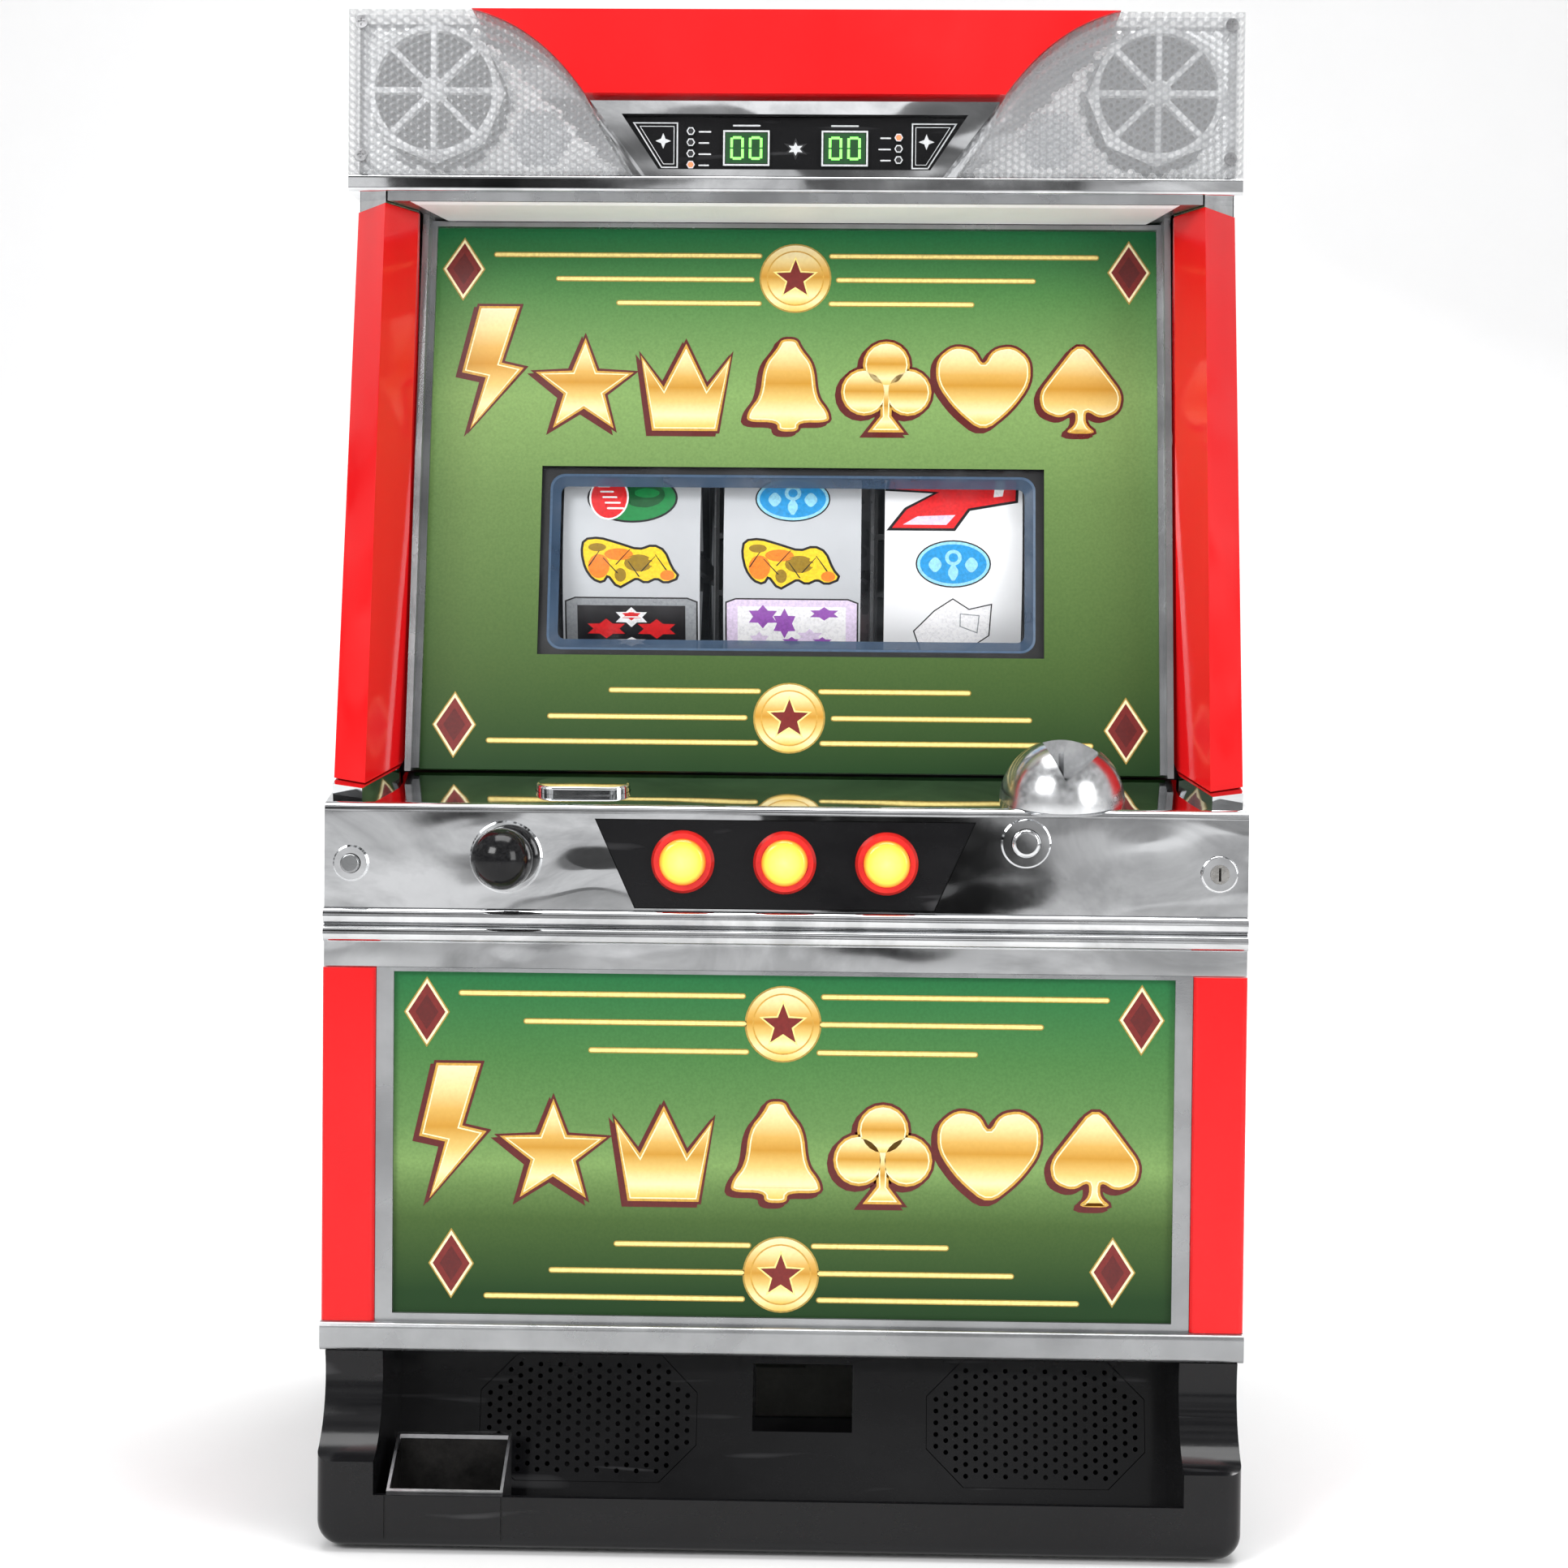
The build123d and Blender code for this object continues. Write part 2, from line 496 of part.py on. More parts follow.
# ================================================================ door frame
UPPER_OPENING = (PANEL_FOOT_Z + 3, RAIL_BOTTOM + 1)
LOWER_OPENING = (LOWER_RAIL_TOP + 7, DESK_BOTTOM - 4)
SPEAKER_X, SPEAKER_Z = HALF - 45, DOOR_TOP - 42
SPEAKER_BASKET = 26.0
with BuildPart() as door_frame:
    with BuildSketch(front_plane(DOOR_BACK)):
        rectangle(-HALF, HALF, DOOR_BOTTOM, DOOR_TOP)
        for bottom, top in (UPPER_OPENING, LOWER_OPENING):
            rectangle(-HALF + STILE, HALF - STILE, bottom, top, mode=Mode.SUBTRACT)
    extrude(amount=DOOR_FRAME_DEPTH)
    # The frame is a moulding that is open at the back: its members are channels.
    with BuildSketch(front_plane(DOOR_BACK)):
        inset = DOOR_WALL
        rectangle(-HALF + inset, HALF - inset, DOOR_BOTTOM + inset, DOOR_TOP - inset)
        for bottom, top in (UPPER_OPENING, LOWER_OPENING):
            rectangle(
                -HALF + STILE - inset, HALF - STILE + inset, bottom - inset, top + inset,
                mode=Mode.SUBTRACT,
            )
    extrude(amount=DOOR_FRAME_DEPTH - DOOR_WALL, mode=Mode.SUBTRACT)
    # Side pockets for the hinges.
    for height in HINGE_HEIGHTS:
        block(
            -HALF - 1, -HALF + DOOR_WALL + 1, DOOR_FACE + DOOR_WALL, DOOR_BACK + 1,
            height - BRACKET_HEIGHT, height + BRACKET_HEIGHT, mode=Mode.SUBTRACT,
        )
    # Round holes for the upper speakers, the medal payout and the lock's tail.
    for sign in (-1, 1):
        rod(sign * SPEAKER_X, SPEAKER_Z, SPEAKER_BASKET, DOOR_FACE - 1, DOOR_BACK + 1, Mode.SUBTRACT)
    payout_x = (PAYOUT_X - PAYOUT_WIDTH / 2, PAYOUT_X + PAYOUT_WIDTH / 2)
    block(*payout_x, DOOR_FACE - 1, DOOR_BACK, 40, 90, mode=Mode.SUBTRACT)
    rod(KEY_X, KEY_Z, 6, DOOR_FACE - 1, DOOR_FACE + DOOR_WALL + 1, Mode.SUBTRACT)
save(door_frame, "door_frame")

# Hinge plates in the pockets: an upright plate on the frame and an eye over the cabinet's pin.
EYE_RADIUS = 6.5
with BuildPart() as door_hinge_plates:
    for height in HINGE_HEIGHTS:
        plate_back = DOOR_FACE + DOOR_WALL + HINGE_TAB
        block(-HALF + 2, HINGE_X + 28, plate_back - HINGE_TAB, plate_back, height - 21, height + 21)
        with BuildSketch(Plane.XY.offset(height + HINGE_TAB + FIT)):
            with Locations((HINGE_X, HINGE_Y)):
                Circle(EYE_RADIUS)
            rectangle(HINGE_X - EYE_RADIUS, HINGE_X + EYE_RADIUS, plate_back, HINGE_Y)
            with Locations((HINGE_X, HINGE_Y)):
                Circle(HINGE_PIN_RADIUS + RUNNING, mode=Mode.SUBTRACT)
        extrude(amount=HINGE_TAB)
save(door_hinge_plates, "door_hinge_plates")

# ================================================================ top unit
COVER_TOP_X = HALF - 66.0         # where the clear cover's edge meets the top
COVER_MID = (113.0, DOOR_TOP + LENS_BOTTOM)
COVER_TIP_X = 86.5
COVER_WALL = 2.5
LENS_PROUD = 3.0                  # the red lens stands this far in front of the covers


def swept_edge(sign, shift, top_drop, low_lift):
    """The swept edge between a clear cover and the red lens, moved outwards by shift."""
    top = (sign * (COVER_TOP_X + shift), DOOR_TOP - top_drop)
    middle = (sign * (COVER_MID[0] + shift), COVER_MID[1] + low_lift)
    return Spline(top, middle, tangents=((-sign * 1.0, -0.25), (-sign * 0.7, -1.0)))


def cover_face(sign, inset):
    """A clear cover's outline, thinned by inset, in the sketch that is open."""
    side, top, bottom = sign * (HALF - inset), DOOR_TOP - inset, RAIL_TOP + inset
    with BuildLine(mode=Mode.PRIVATE) as edge:
        swept_edge(sign, inset, inset, 0)
        Polyline(
            (sign * (COVER_MID[0] + inset), COVER_MID[1]),
            (sign * (COVER_TIP_X + 1.6 * inset), bottom),
            (side, bottom),
            (side, top),
            (sign * (COVER_TOP_X + inset), top),
        )
    return make_face(edge.edges())


def lens_face(inset):
    """The red lens's outline, thinned by inset, in the sketch that is open."""
    top, bottom = DOOR_TOP - max(inset - FIT, 0), COVER_MID[1] + inset
    with BuildLine(mode=Mode.PRIVATE) as edge:
        for sign in (-1, 1):
            swept_edge(sign, -inset, DOOR_TOP - top, inset)
        Line((-COVER_TOP_X + inset, top), (COVER_TOP_X - inset, top))
        Line((-COVER_MID[0] + inset, bottom), (COVER_MID[0] - inset, bottom))
    return make_face(edge.edges())


DISPLAY_TOP, DISPLAY_BOTTOM = RAIL_TOP + 33, RAIL_TOP + 3.5
DISPLAY_TOP_X, DISPLAY_BOTTOM_X = 93.0, 73.0
DISPLAY_FACE = TOP_FACE + 9
HOUSING_BACK = DOOR_FACE - SHELL
with BuildPart() as top_housing:
    block(-HALF, HALF, HOUSING_BACK, DOOR_FACE, RAIL_BOTTOM, DOOR_TOP)
    block(-HALF, HALF, TOP_FACE, DOOR_FACE, RAIL_BOTTOM, RAIL_TOP)
    fillet(top_housing.faces().sort_by(Axis.Y)[0].edges().filter_by(Axis.X), radius=2)
    # The chrome surround of the display.
    with BuildSketch(front_plane(HOUSING_BACK)):
        outline((-110, RAIL_TOP + 40), (110, RAIL_TOP + 40), (80, RAIL_TOP), (-80, RAIL_TOP))
    extrude(amount=HOUSING_BACK - TOP_FACE - 1)
    with BuildSketch(front_plane(TOP_FACE)):
        outline(
            (-DISPLAY_TOP_X, DISPLAY_TOP), (DISPLAY_TOP_X, DISPLAY_TOP),
            (DISPLAY_BOTTOM_X, DISPLAY_BOTTOM), (-DISPLAY_BOTTOM_X, DISPLAY_BOTTOM),
        )
    extrude(amount=TOP_FACE - DISPLAY_FACE - 3, mode=Mode.SUBTRACT)
    with BuildSketch(front_plane(TOP_FACE)):
        outline(
            (-DISPLAY_TOP_X + 8, DISPLAY_TOP - 4), (DISPLAY_TOP_X - 8, DISPLAY_TOP - 4),
            (DISPLAY_BOTTOM_X - 6, DISPLAY_BOTTOM + 4), (-DISPLAY_BOTTOM_X + 6, DISPLAY_BOTTOM + 4),
        )
    extrude(amount=-(HOUSING_BACK - TOP_FACE - 2), mode=Mode.SUBTRACT)
    # Corner blocks between the rail and the side lenses.
    for sign in (-1, 1):
        with BuildSketch(Plane.XY.offset(RAIL_BOTTOM - 6)):
            outline(
                (sign * (HALF - 33), DOOR_FACE), (sign * (HALF - 33), DOOR_FACE - 4),
                (sign * (HALF - 20), TOP_FACE + 2), (sign * (HALF - 1), DOOR_FACE - 4),
                (sign * (HALF - 1), DOOR_FACE),
            )
        extrude(amount=6)
        rod(sign * SPEAKER_X, SPEAKER_Z, SPEAKER_BASKET, HOUSING_BACK - 1, DOOR_FACE + 1, Mode.SUBTRACT)
save(top_housing, "top_housing")

# Two clear covers over the speakers: tubs that are open at the back, with screw holes.
SCREW_PLACES = [
    (sign * (HALF - 7), z) for sign in (-1, 1) for z in (DOOR_TOP - 7, RAIL_TOP + 10)
]
SCREW_RADIUS = 1.6
with BuildPart() as speaker_covers:
    for sign in (-1, 1):
        with BuildSketch(front_plane(HOUSING_BACK)):
            cover_face(sign, 0)
        extrude(amount=HOUSING_BACK - TOP_FACE)
        with BuildSketch(front_plane(HOUSING_BACK)):
            cover_face(sign, COVER_WALL)
        extrude(amount=HOUSING_BACK - TOP_FACE - COVER_WALL, mode=Mode.SUBTRACT)
    for x, z in SCREW_PLACES:
        rod(x, z, SCREW_RADIUS + 0.2, TOP_FACE - 1, HOUSING_BACK + 1, Mode.SUBTRACT)
save(speaker_covers, "speaker_covers")

# The red lens fills the space between the covers' swept edges.
with BuildPart() as top_lens:
    for inset, mode in ((0.0, Mode.ADD), (COVER_WALL, Mode.SUBTRACT)):
        with BuildSketch(front_plane(HOUSING_BACK)):
            lens_face(FIT + inset)
        extrude(amount=HOUSING_BACK - TOP_FACE + LENS_PROUD - inset, mode=mode)
save(top_lens, "top_lens")

# A round fan-shaped light diffuser in front of each upper speaker, in an eight-sided surround.
FAN_RADIUS = 35.0
with BuildPart() as speaker_diffusers:
    for sign in (-1, 1):
        with BuildSketch(front_plane(TOP_FACE + 14)):
            with Locations((sign * SPEAKER_X, SPEAKER_Z)):
                RegularPolygon(radius=38, side_count=8)
                Circle(FAN_RADIUS - 2, mode=Mode.SUBTRACT)
        extrude(amount=3)
        with BuildSketch(front_plane(TOP_FACE + 11)):
            with Locations((sign * SPEAKER_X, SPEAKER_Z)):
                Circle(FAN_RADIUS)
                Circle(FAN_RADIUS - 3, mode=Mode.SUBTRACT)
                Circle(7)
                with PolarLocations(FAN_RADIUS / 2, 8):
                    Rectangle(FAN_RADIUS - 2, 3)
        extrude(amount=6)
save(speaker_diffusers, "speaker_diffusers")


def speaker_profile(radius, depth):
    """Half section of a small speaker: rim at the front, cone, basket and magnet behind."""
    return outline(
        (0, 7), (radius * 0.3, 7), (radius - 5, 1), (radius - 5, 0), (radius, 0),
        (radius, 2.5), (radius - 4, 2.5), (radius * 0.62, depth * 0.55),
        (radius * 0.62, depth), (0, depth),
    )


# Four speakers: two behind the clear covers and two behind the tray's grilles.
UPPER_SPEAKER_FACE, UPPER_SPEAKER_DEPTH = TOP_FACE + 20, 20
with BuildPart() as speakers:
    for sign in (-1, 1):
        axis_plane = Plane(
            origin=(sign * SPEAKER_X, UPPER_SPEAKER_FACE, SPEAKER_Z), x_dir=(1, 0, 0), z_dir=(0, 0, 1)
        )
        with BuildSketch(axis_plane):
            speaker_profile(36, UPPER_SPEAKER_DEPTH)
        revolve(axis=Axis((sign * SPEAKER_X, UPPER_SPEAKER_FACE, SPEAKER_Z), (0, 1, 0)))
    for x in GRILLE_CENTRES:
        wall_back = TRAY_PLANE.offset(-TRAY_WALL - 0.5)
        centre = wall_back.from_local_coords((x, TRAY_LENGTH / 2 - 6, 0))
        into = wall_back.z_dir * -1
        with BuildSketch(Plane(origin=centre, x_dir=(1, 0, 0), z_dir=wall_back.x_dir.cross(into))):
            speaker_profile(30, 22)
        revolve(axis=Axis(centre, into))
save(speakers, "speakers")

with BuildPart() as display_panel:
    with BuildSketch(front_plane(DISPLAY_FACE + 3)):
        outline(
            (-DISPLAY_TOP_X + FIT, DISPLAY_TOP - FIT), (DISPLAY_TOP_X - FIT, DISPLAY_TOP - FIT),
            (DISPLAY_BOTTOM_X - FIT, DISPLAY_BOTTOM + FIT),
            (-DISPLAY_BOTTOM_X + FIT, DISPLAY_BOTTOM + FIT),
        )
    extrude(amount=3)
save(display_panel, "display_panel")

# Two pairs of seven-segment digits and two columns of small lamps, on the display panel.
DIGIT_XS, DIGIT_Z = (-26.0, 27.0), RAIL_TOP + 16
LAMP_COLUMNS, LAMP_PITCH = ((-56.0, 4), (56.0, 3)), 6.0
with BuildPart() as display_indicators:
    with BuildSketch(front_plane(DISPLAY_FACE)):
        for x in DIGIT_XS:
            with Locations((x, DIGIT_Z)):
                Rectangle(25, 19)
        for x, count in LAMP_COLUMNS:
            with Locations((x, DIGIT_Z)):
                with GridLocations(1, LAMP_PITCH, 1, count):
                    RegularPolygon(radius=2.4, side_count=6)
    extrude(amount=2)
save(display_indicators, "display_indicators")

# ================================================================ reel panel and side lamps
with BuildPart() as reel_panel:
    with BuildSketch(PANEL_PLANE):
        rectangle(-PANEL_HALF, PANEL_HALF, 1, PANEL_LENGTH)
    extrude(amount=-PANEL_THICK)
save(reel_panel, "reel_panel")

# A black surround behind the panel frames the reels with round corners.
WINDOW_LOW = REEL_UP - WINDOW_HEIGHT / 2
WINDOW_TOP = REEL_UP + WINDOW_HEIGHT / 2
BEZEL_DEPTH = 7.0
with BuildPart() as window_bezel:
    with BuildSketch(PANEL_PLANE.offset(-PANEL_THICK)):
        rectangle(-WINDOW_WIDTH / 2 - 8, WINDOW_WIDTH / 2 + 8, WINDOW_LOW - 8, WINDOW_TOP + 8)
        with Locations((0, REEL_UP)):
            RectangleRounded(WINDOW_WIDTH - 6, WINDOW_HEIGHT - 6, 9, mode=Mode.SUBTRACT)
    extrude(amount=-BEZEL_DEPTH)
save(window_bezel, "window_bezel")

# The bright surround: a thin frame on the panel, cheeks at its sides and a hood over its top.
BEZEL_FACE = 3.0
CHEEK_REACH = 12.0
with BuildPart() as upper_bezel:
    with BuildSketch(PANEL_PLANE):
        rectangle(-PANEL_HALF, PANEL_HALF, 1, PANEL_LENGTH)
        rectangle(-PANEL_HALF + 6, PANEL_HALF - 6, 0, PANEL_LENGTH - 3, mode=Mode.SUBTRACT)
    extrude(amount=BEZEL_FACE)
    for sign in (-1, 1):
        with BuildSketch(side_plane(sign * (PANEL_HALF + 0.4))):
            top_y = LEDGE_BACK + PANEL_LEAN_RUN
            outline(
                (LEDGE_BACK + 6, PANEL_FOOT_Z), (LEDGE_BACK - CHEEK_REACH, PANEL_FOOT_Z),
                (top_y - CHEEK_REACH - 4, PANEL_TOP_Z + 2), (top_y + 6, PANEL_TOP_Z + 2),
            )
        extrude(amount=-sign * 3.4)
    with BuildSketch(Plane.XY.offset(PANEL_TOP_Z + 2)):
        hood_back, hood_front = PANEL_HALF + 0.4, PANEL_HALF + 13
        outline(
            (-PANEL_HALF, LEDGE_BACK + PANEL_LEAN_RUN + 6), (-hood_back, DOOR_FACE - 5),
            (-hood_front, TOP_FACE + 2), (hood_front, TOP_FACE + 2),
            (hood_back, DOOR_FACE - 5), (PANEL_HALF, LEDGE_BACK + PANEL_LEAN_RUN + 6),
        )
    extrude(amount=RAIL_BOTTOM - PANEL_TOP_Z - 2)
    # The panel's own space is cut out of the cheeks.
    with BuildSketch(PANEL_PLANE):
        rectangle(-PANEL_HALF, PANEL_HALF, 1, PANEL_LENGTH)
    extrude(amount=-PANEL_THICK, mode=Mode.SUBTRACT)
save(upper_bezel, "upper_bezel")

# Red prism lamps down both sides: three-sided shells, lofted from a deep section at the top to
# a shallow one at the foot, and cut along the desk's ledge.
LENS_WALL = 2.5


def lens_section(sign, top, wall):
    """One end section of a side lens, thinned by wall."""
    inner = HALF - (33 if top else 31)
    ridge = (HALF - (20 if top else 18), DOOR_FACE - (38 if top else 84))
    inner_shoulder = DOOR_FACE - (5 if top else 43)
    outer_shoulder = DOOR_FACE - (5 if top else 76)
    points = [
        (inner + wall, DOOR_FACE + wall), (inner + wall, inner_shoulder + wall * 0.3),
        (ridge[0], ridge[1] + wall * 1.6), (HALF - wall, outer_shoulder + wall * 0.3),
        (HALF - wall, DOOR_FACE + wall),
    ]
    outline(*[(sign * x, y) for x, y in points])


LENS_TOP_Z = RAIL_BOTTOM - 6.5
LENS_FOOT_Z = DESK_FRONT_TOP - 10
with BuildPart() as side_lenses:
    for sign in (-1, 1):
        for wall, mode in ((0.0, Mode.ADD), (LENS_WALL, Mode.SUBTRACT)):
            with BuildSketch(Plane.XY.offset(LENS_TOP_Z - wall)):
                lens_section(sign, True, wall)
            with BuildSketch(Plane.XY.offset(LENS_FOOT_Z - wall)):
                lens_section(sign, False, wall)
            loft(ruled=True, mode=mode)
    split(bisect_by=LEDGE_PLANE.offset(6), keep=Keep.TOP)
save(side_lenses, "side_lenses")

# ================================================================ control desk
STOP_XS = {"left": -STOP_SPACING, "center": 0.0, "right": STOP_SPACING}
FACE_LOW = 329.0
FACE_TOP_X, FACE_LOW_X = 99.0, 78.0
FACE_TOP_Z = DESK_FRONT_TOP - 6.5
RIDGE_ZS = (DESK_BOTTOM + 17.4, DESK_BOTTOM + 26.6)
RIDGE_RADIUS = 4.5
LEVER_HOLE, SETTLE_HOLE, RETURN_HOLE = 12.0, 7.0, 9.0
KEY_RADIUS = 9.6
with BuildPart() as control_housing:
    with BuildSketch(side_plane(-HALF)):
        outline(
            (DOOR_FACE, DESK_BOTTOM), (DESK_FACE, DESK_BOTTOM), (DESK_FACE, DESK_FRONT_TOP),
            (LEDGE_BACK, LEDGE_BACK_Z), (DOOR_FACE, LEDGE_BACK_Z),
        )
        for z in RIDGE_ZS:
            with Locations((DESK_FACE, z)):
                Circle(RIDGE_RADIUS)
    extrude(amount=WIDTH)
    desk_edges = control_housing.edges().filter_by(Axis.X)
    fillet(desk_edges.filter_by_position(Axis.Z, DESK_FRONT_TOP - 1, DESK_FRONT_TOP + 1), radius=5)
    with BuildSketch(side_plane(-HALF + SHELL)):
        outline(
            (DOOR_FACE + 1, DESK_BOTTOM + SHELL), (DESK_FACE + SHELL, DESK_BOTTOM + SHELL),
            (DESK_FACE + SHELL, DESK_FRONT_TOP - SHELL), (LEDGE_BACK, LEDGE_BACK_Z - SHELL),
            (DOOR_FACE + 1, LEDGE_BACK_Z - SHELL),
        )
    extrude(amount=WIDTH - 2 * SHELL, mode=Mode.SUBTRACT)
    # Openings in the front face.
    with BuildSketch(front_plane(DESK_FACE - 6)):
        outline(
            (-FACE_TOP_X, FACE_TOP_Z), (FACE_TOP_X, FACE_TOP_Z),
            (FACE_LOW_X, FACE_LOW + 1), (-FACE_LOW_X, FACE_LOW + 1),
        )
        for x, z, radius in (
            (LEVER_X, LEVER_Z, LEVER_HOLE), (SETTLE_X, SETTLE_Z, SETTLE_HOLE),
            (RETURN_X, RETURN_Z, RETURN_HOLE), (KEY_X, KEY_Z, KEY_RADIUS - 2 + FIT),
        ):
            with Locations((x, z)):
                Circle(radius)
    extrude(amount=-6 - SHELL - 1, mode=Mode.SUBTRACT)
    # Openings in the ledge for the bet button and the medal slot.
    with BuildSketch(LEDGE_PLANE.offset(1)):
        with Locations((BET_X, LEDGE_LENGTH / 2)):
            SlotOverall(BET_WIDTH + 2 * FIT, BET_DEPTH + 2 * FIT)
        with Locations((SLOT_X, SLOT_UP)):
            Rectangle(4, 2 * MEDAL_RADIUS + 4)
    extrude(amount=-SHELL - 3, mode=Mode.SUBTRACT)
    # Feet under the side lenses.
    for sign in (-1, 1):
        with BuildSketch(LEDGE_PLANE):
            outline(
                (sign * (HALF - 31), LEDGE_LENGTH), (sign * (HALF - 31), LEDGE_LENGTH - 12),
                (sign * (HALF - 18), LEDGE_LENGTH - 54), (sign * (HALF - 1), LEDGE_LENGTH - 46),
                (sign * (HALF - 1), LEDGE_LENGTH),
            )
        extrude(amount=5.5)
save(control_housing, "control_housing")

# The black face with its three stop buttons drops into the desk's front opening.
PLATE_FACE = DESK_FACE + 1
with BuildPart() as stop_panel:
    with BuildSketch(front_plane(PLATE_FACE + SHELL)):
        outline(
            (-FACE_TOP_X + FIT, FACE_TOP_Z - FIT), (FACE_TOP_X - FIT, FACE_TOP_Z - FIT),
            (FACE_LOW_X - FIT, FACE_LOW + 1 + FIT), (-FACE_LOW_X + FIT, FACE_LOW + 1 + FIT),
        )
        for x in STOP_XS.values():
            with Locations((x, STOP_Z)):
                Circle(STOP_RADIUS + 1.5, mode=Mode.SUBTRACT)
    extrude(amount=SHELL)
save(stop_panel, "stop_panel")

# Red rings round the stop buttons, each with a sleeve through the black face.
with BuildPart() as stop_button_rings:
    for x in STOP_XS.values():
        with BuildSketch(front_plane(PLATE_FACE)):
            with Locations((x, STOP_Z)):
                Circle(STOP_RING_RADIUS)
        extrude(amount=4, taper=20)
        rod(x, STOP_Z, STOP_RADIUS + 1.5, PLATE_FACE, PLATE_FACE + SHELL + 8)
        rod(x, STOP_Z, STOP_RADIUS + FIT, PLATE_FACE - 5, PLATE_FACE + SHELL + 9, Mode.SUBTRACT)
save(stop_button_rings, "stop_button_rings")

for button_name, x in STOP_XS.items():
    with BuildPart() as stop_button:
        rod(x, STOP_Z, STOP_RADIUS, PLATE_FACE - 8, PLATE_FACE + SHELL + 6)
        fillet(stop_button.edges().sort_by(Axis.Y)[0], radius=3)
        rod(x, STOP_Z, 4, PLATE_FACE + SHELL + 6, PLATE_FACE + SHELL + 14)
    save(stop_button, f"stop_button_{button_name}")

# Round chrome surrounds of the start lever, the settle button and the return button.
BEZEL_RING = 2.0
with BuildPart() as control_bezels:
    for x, z, outer, inner in (
        (LEVER_X, LEVER_Z, 19.0, 9.0), (SETTLE_X, SETTLE_Z, 9.5, 5.0), (RETURN_X, RETURN_Z, 13.0, 7.4),
    ):
        with BuildSketch(front_plane(DESK_FACE)):
            with Locations((x, z)):
                Circle(outer)
        extrude(amount=BEZEL_RING, taper=25)
        hole = {LEVER_X: LEVER_HOLE, SETTLE_X: SETTLE_HOLE, RETURN_X: RETURN_HOLE}[x]
        rod(x, z, hole, DESK_FACE, DESK_FACE + SHELL)
        rod(x, z, inner + FIT, DESK_FACE - 5, DESK_FACE + 5, Mode.SUBTRACT)
save(control_bezels, "control_bezels")

with BuildPart() as settle_button:
    rod(SETTLE_X, SETTLE_Z, 5.0, DESK_FACE - 5.5, DESK_FACE + 8)
    fillet(settle_button.edges().sort_by(Axis.Y)[0], radius=1)
save(settle_button, "settle_button")

with BuildPart() as return_button:
    rod(RETURN_X, RETURN_Z, 7.4, DESK_FACE - 5, DESK_FACE + 10)
    fillet(return_button.edges().sort_by(Axis.Y)[0], radius=2)
save(return_button, "return_button")

# Start lever: a rod that tilts about a pin inside the desk, with a ball on its end.
LEVER_PIVOT_Y = DESK_FACE + 25
BALL_Y = DESK_FACE - 19
SHAFT_RADIUS = 4.0
LEVER_PIN = 16.0                # length of the pivot boss
SHAFT_END = BALL_Y + LEVER_BALL - 6
with BuildPart() as start_lever_shaft:
    rod(LEVER_X, LEVER_Z, SHAFT_RADIUS, SHAFT_END, LEVER_PIVOT_Y + 12)
    with BuildSketch(side_plane(LEVER_X - LEVER_PIN / 2)):
        with Locations((LEVER_PIVOT_Y, LEVER_Z)):
            Circle(6)
    extrude(amount=LEVER_PIN)
save(start_lever_shaft, "start_lever_shaft")

with BuildPart() as start_lever_knob:
    with Locations((LEVER_X, BALL_Y, LEVER_Z)):
        Sphere(LEVER_BALL)
    rod(
        LEVER_X, LEVER_Z, SHAFT_RADIUS + RUNNING, SHAFT_END, BALL_Y + LEVER_BALL + 1, Mode.SUBTRACT
    )
save(start_lever_knob, "start_lever_knob")

# Bet button: a long round-ended key in the ledge.
with BuildPart() as max_bet_button:
    with BuildSketch(LEDGE_PLANE.offset(-8)):
        with Locations((BET_X, LEDGE_LENGTH / 2)):
            SlotOverall(BET_WIDTH, BET_DEPTH)
    extrude(amount=8 + PRESS_TRAVEL + 1)
    fillet(max_bet_button.faces().sort_by(Axis.Z)[-1].edges(), radius=1.5)
save(max_bet_button, "max_bet_button")

# Medal slot: a chrome dome with a scooped guide and a slot just wider than a medal.
with BuildPart() as medal_slot:
    dome = LEDGE_PLANE.from_local_coords((SLOT_X, SLOT_UP, 0))
    cap_radius = (SLOT_RADIUS**2 + SLOT_HEIGHT**2) / (2 * SLOT_HEIGHT)
    with Locations(dome + LEDGE_PLANE.z_dir * (SLOT_HEIGHT - cap_radius)):
        Sphere(cap_radius)
    split(bisect_by=LEDGE_PLANE, keep=Keep.TOP)
    with BuildSketch(front_plane(dome.Y - 60)):
        outline(
            (SLOT_X - 13, dome.Z + SLOT_HEIGHT + 2), (SLOT_X + 22, dome.Z + SLOT_HEIGHT + 2),
            (SLOT_X + 22, dome.Z + SLOT_HEIGHT - 5), (SLOT_X, dome.Z + 9),
        )
    extrude(amount=-68, mode=Mode.SUBTRACT)
    with BuildSketch(LEDGE_PLANE.offset(-1)):
        with Locations((SLOT_X, SLOT_UP)):
            Rectangle(MEDAL_THICK + 1, 2 * MEDAL_RADIUS + 1.5)
    extrude(amount=SLOT_HEIGHT + 4, mode=Mode.SUBTRACT)
save(medal_slot, "medal_slot")

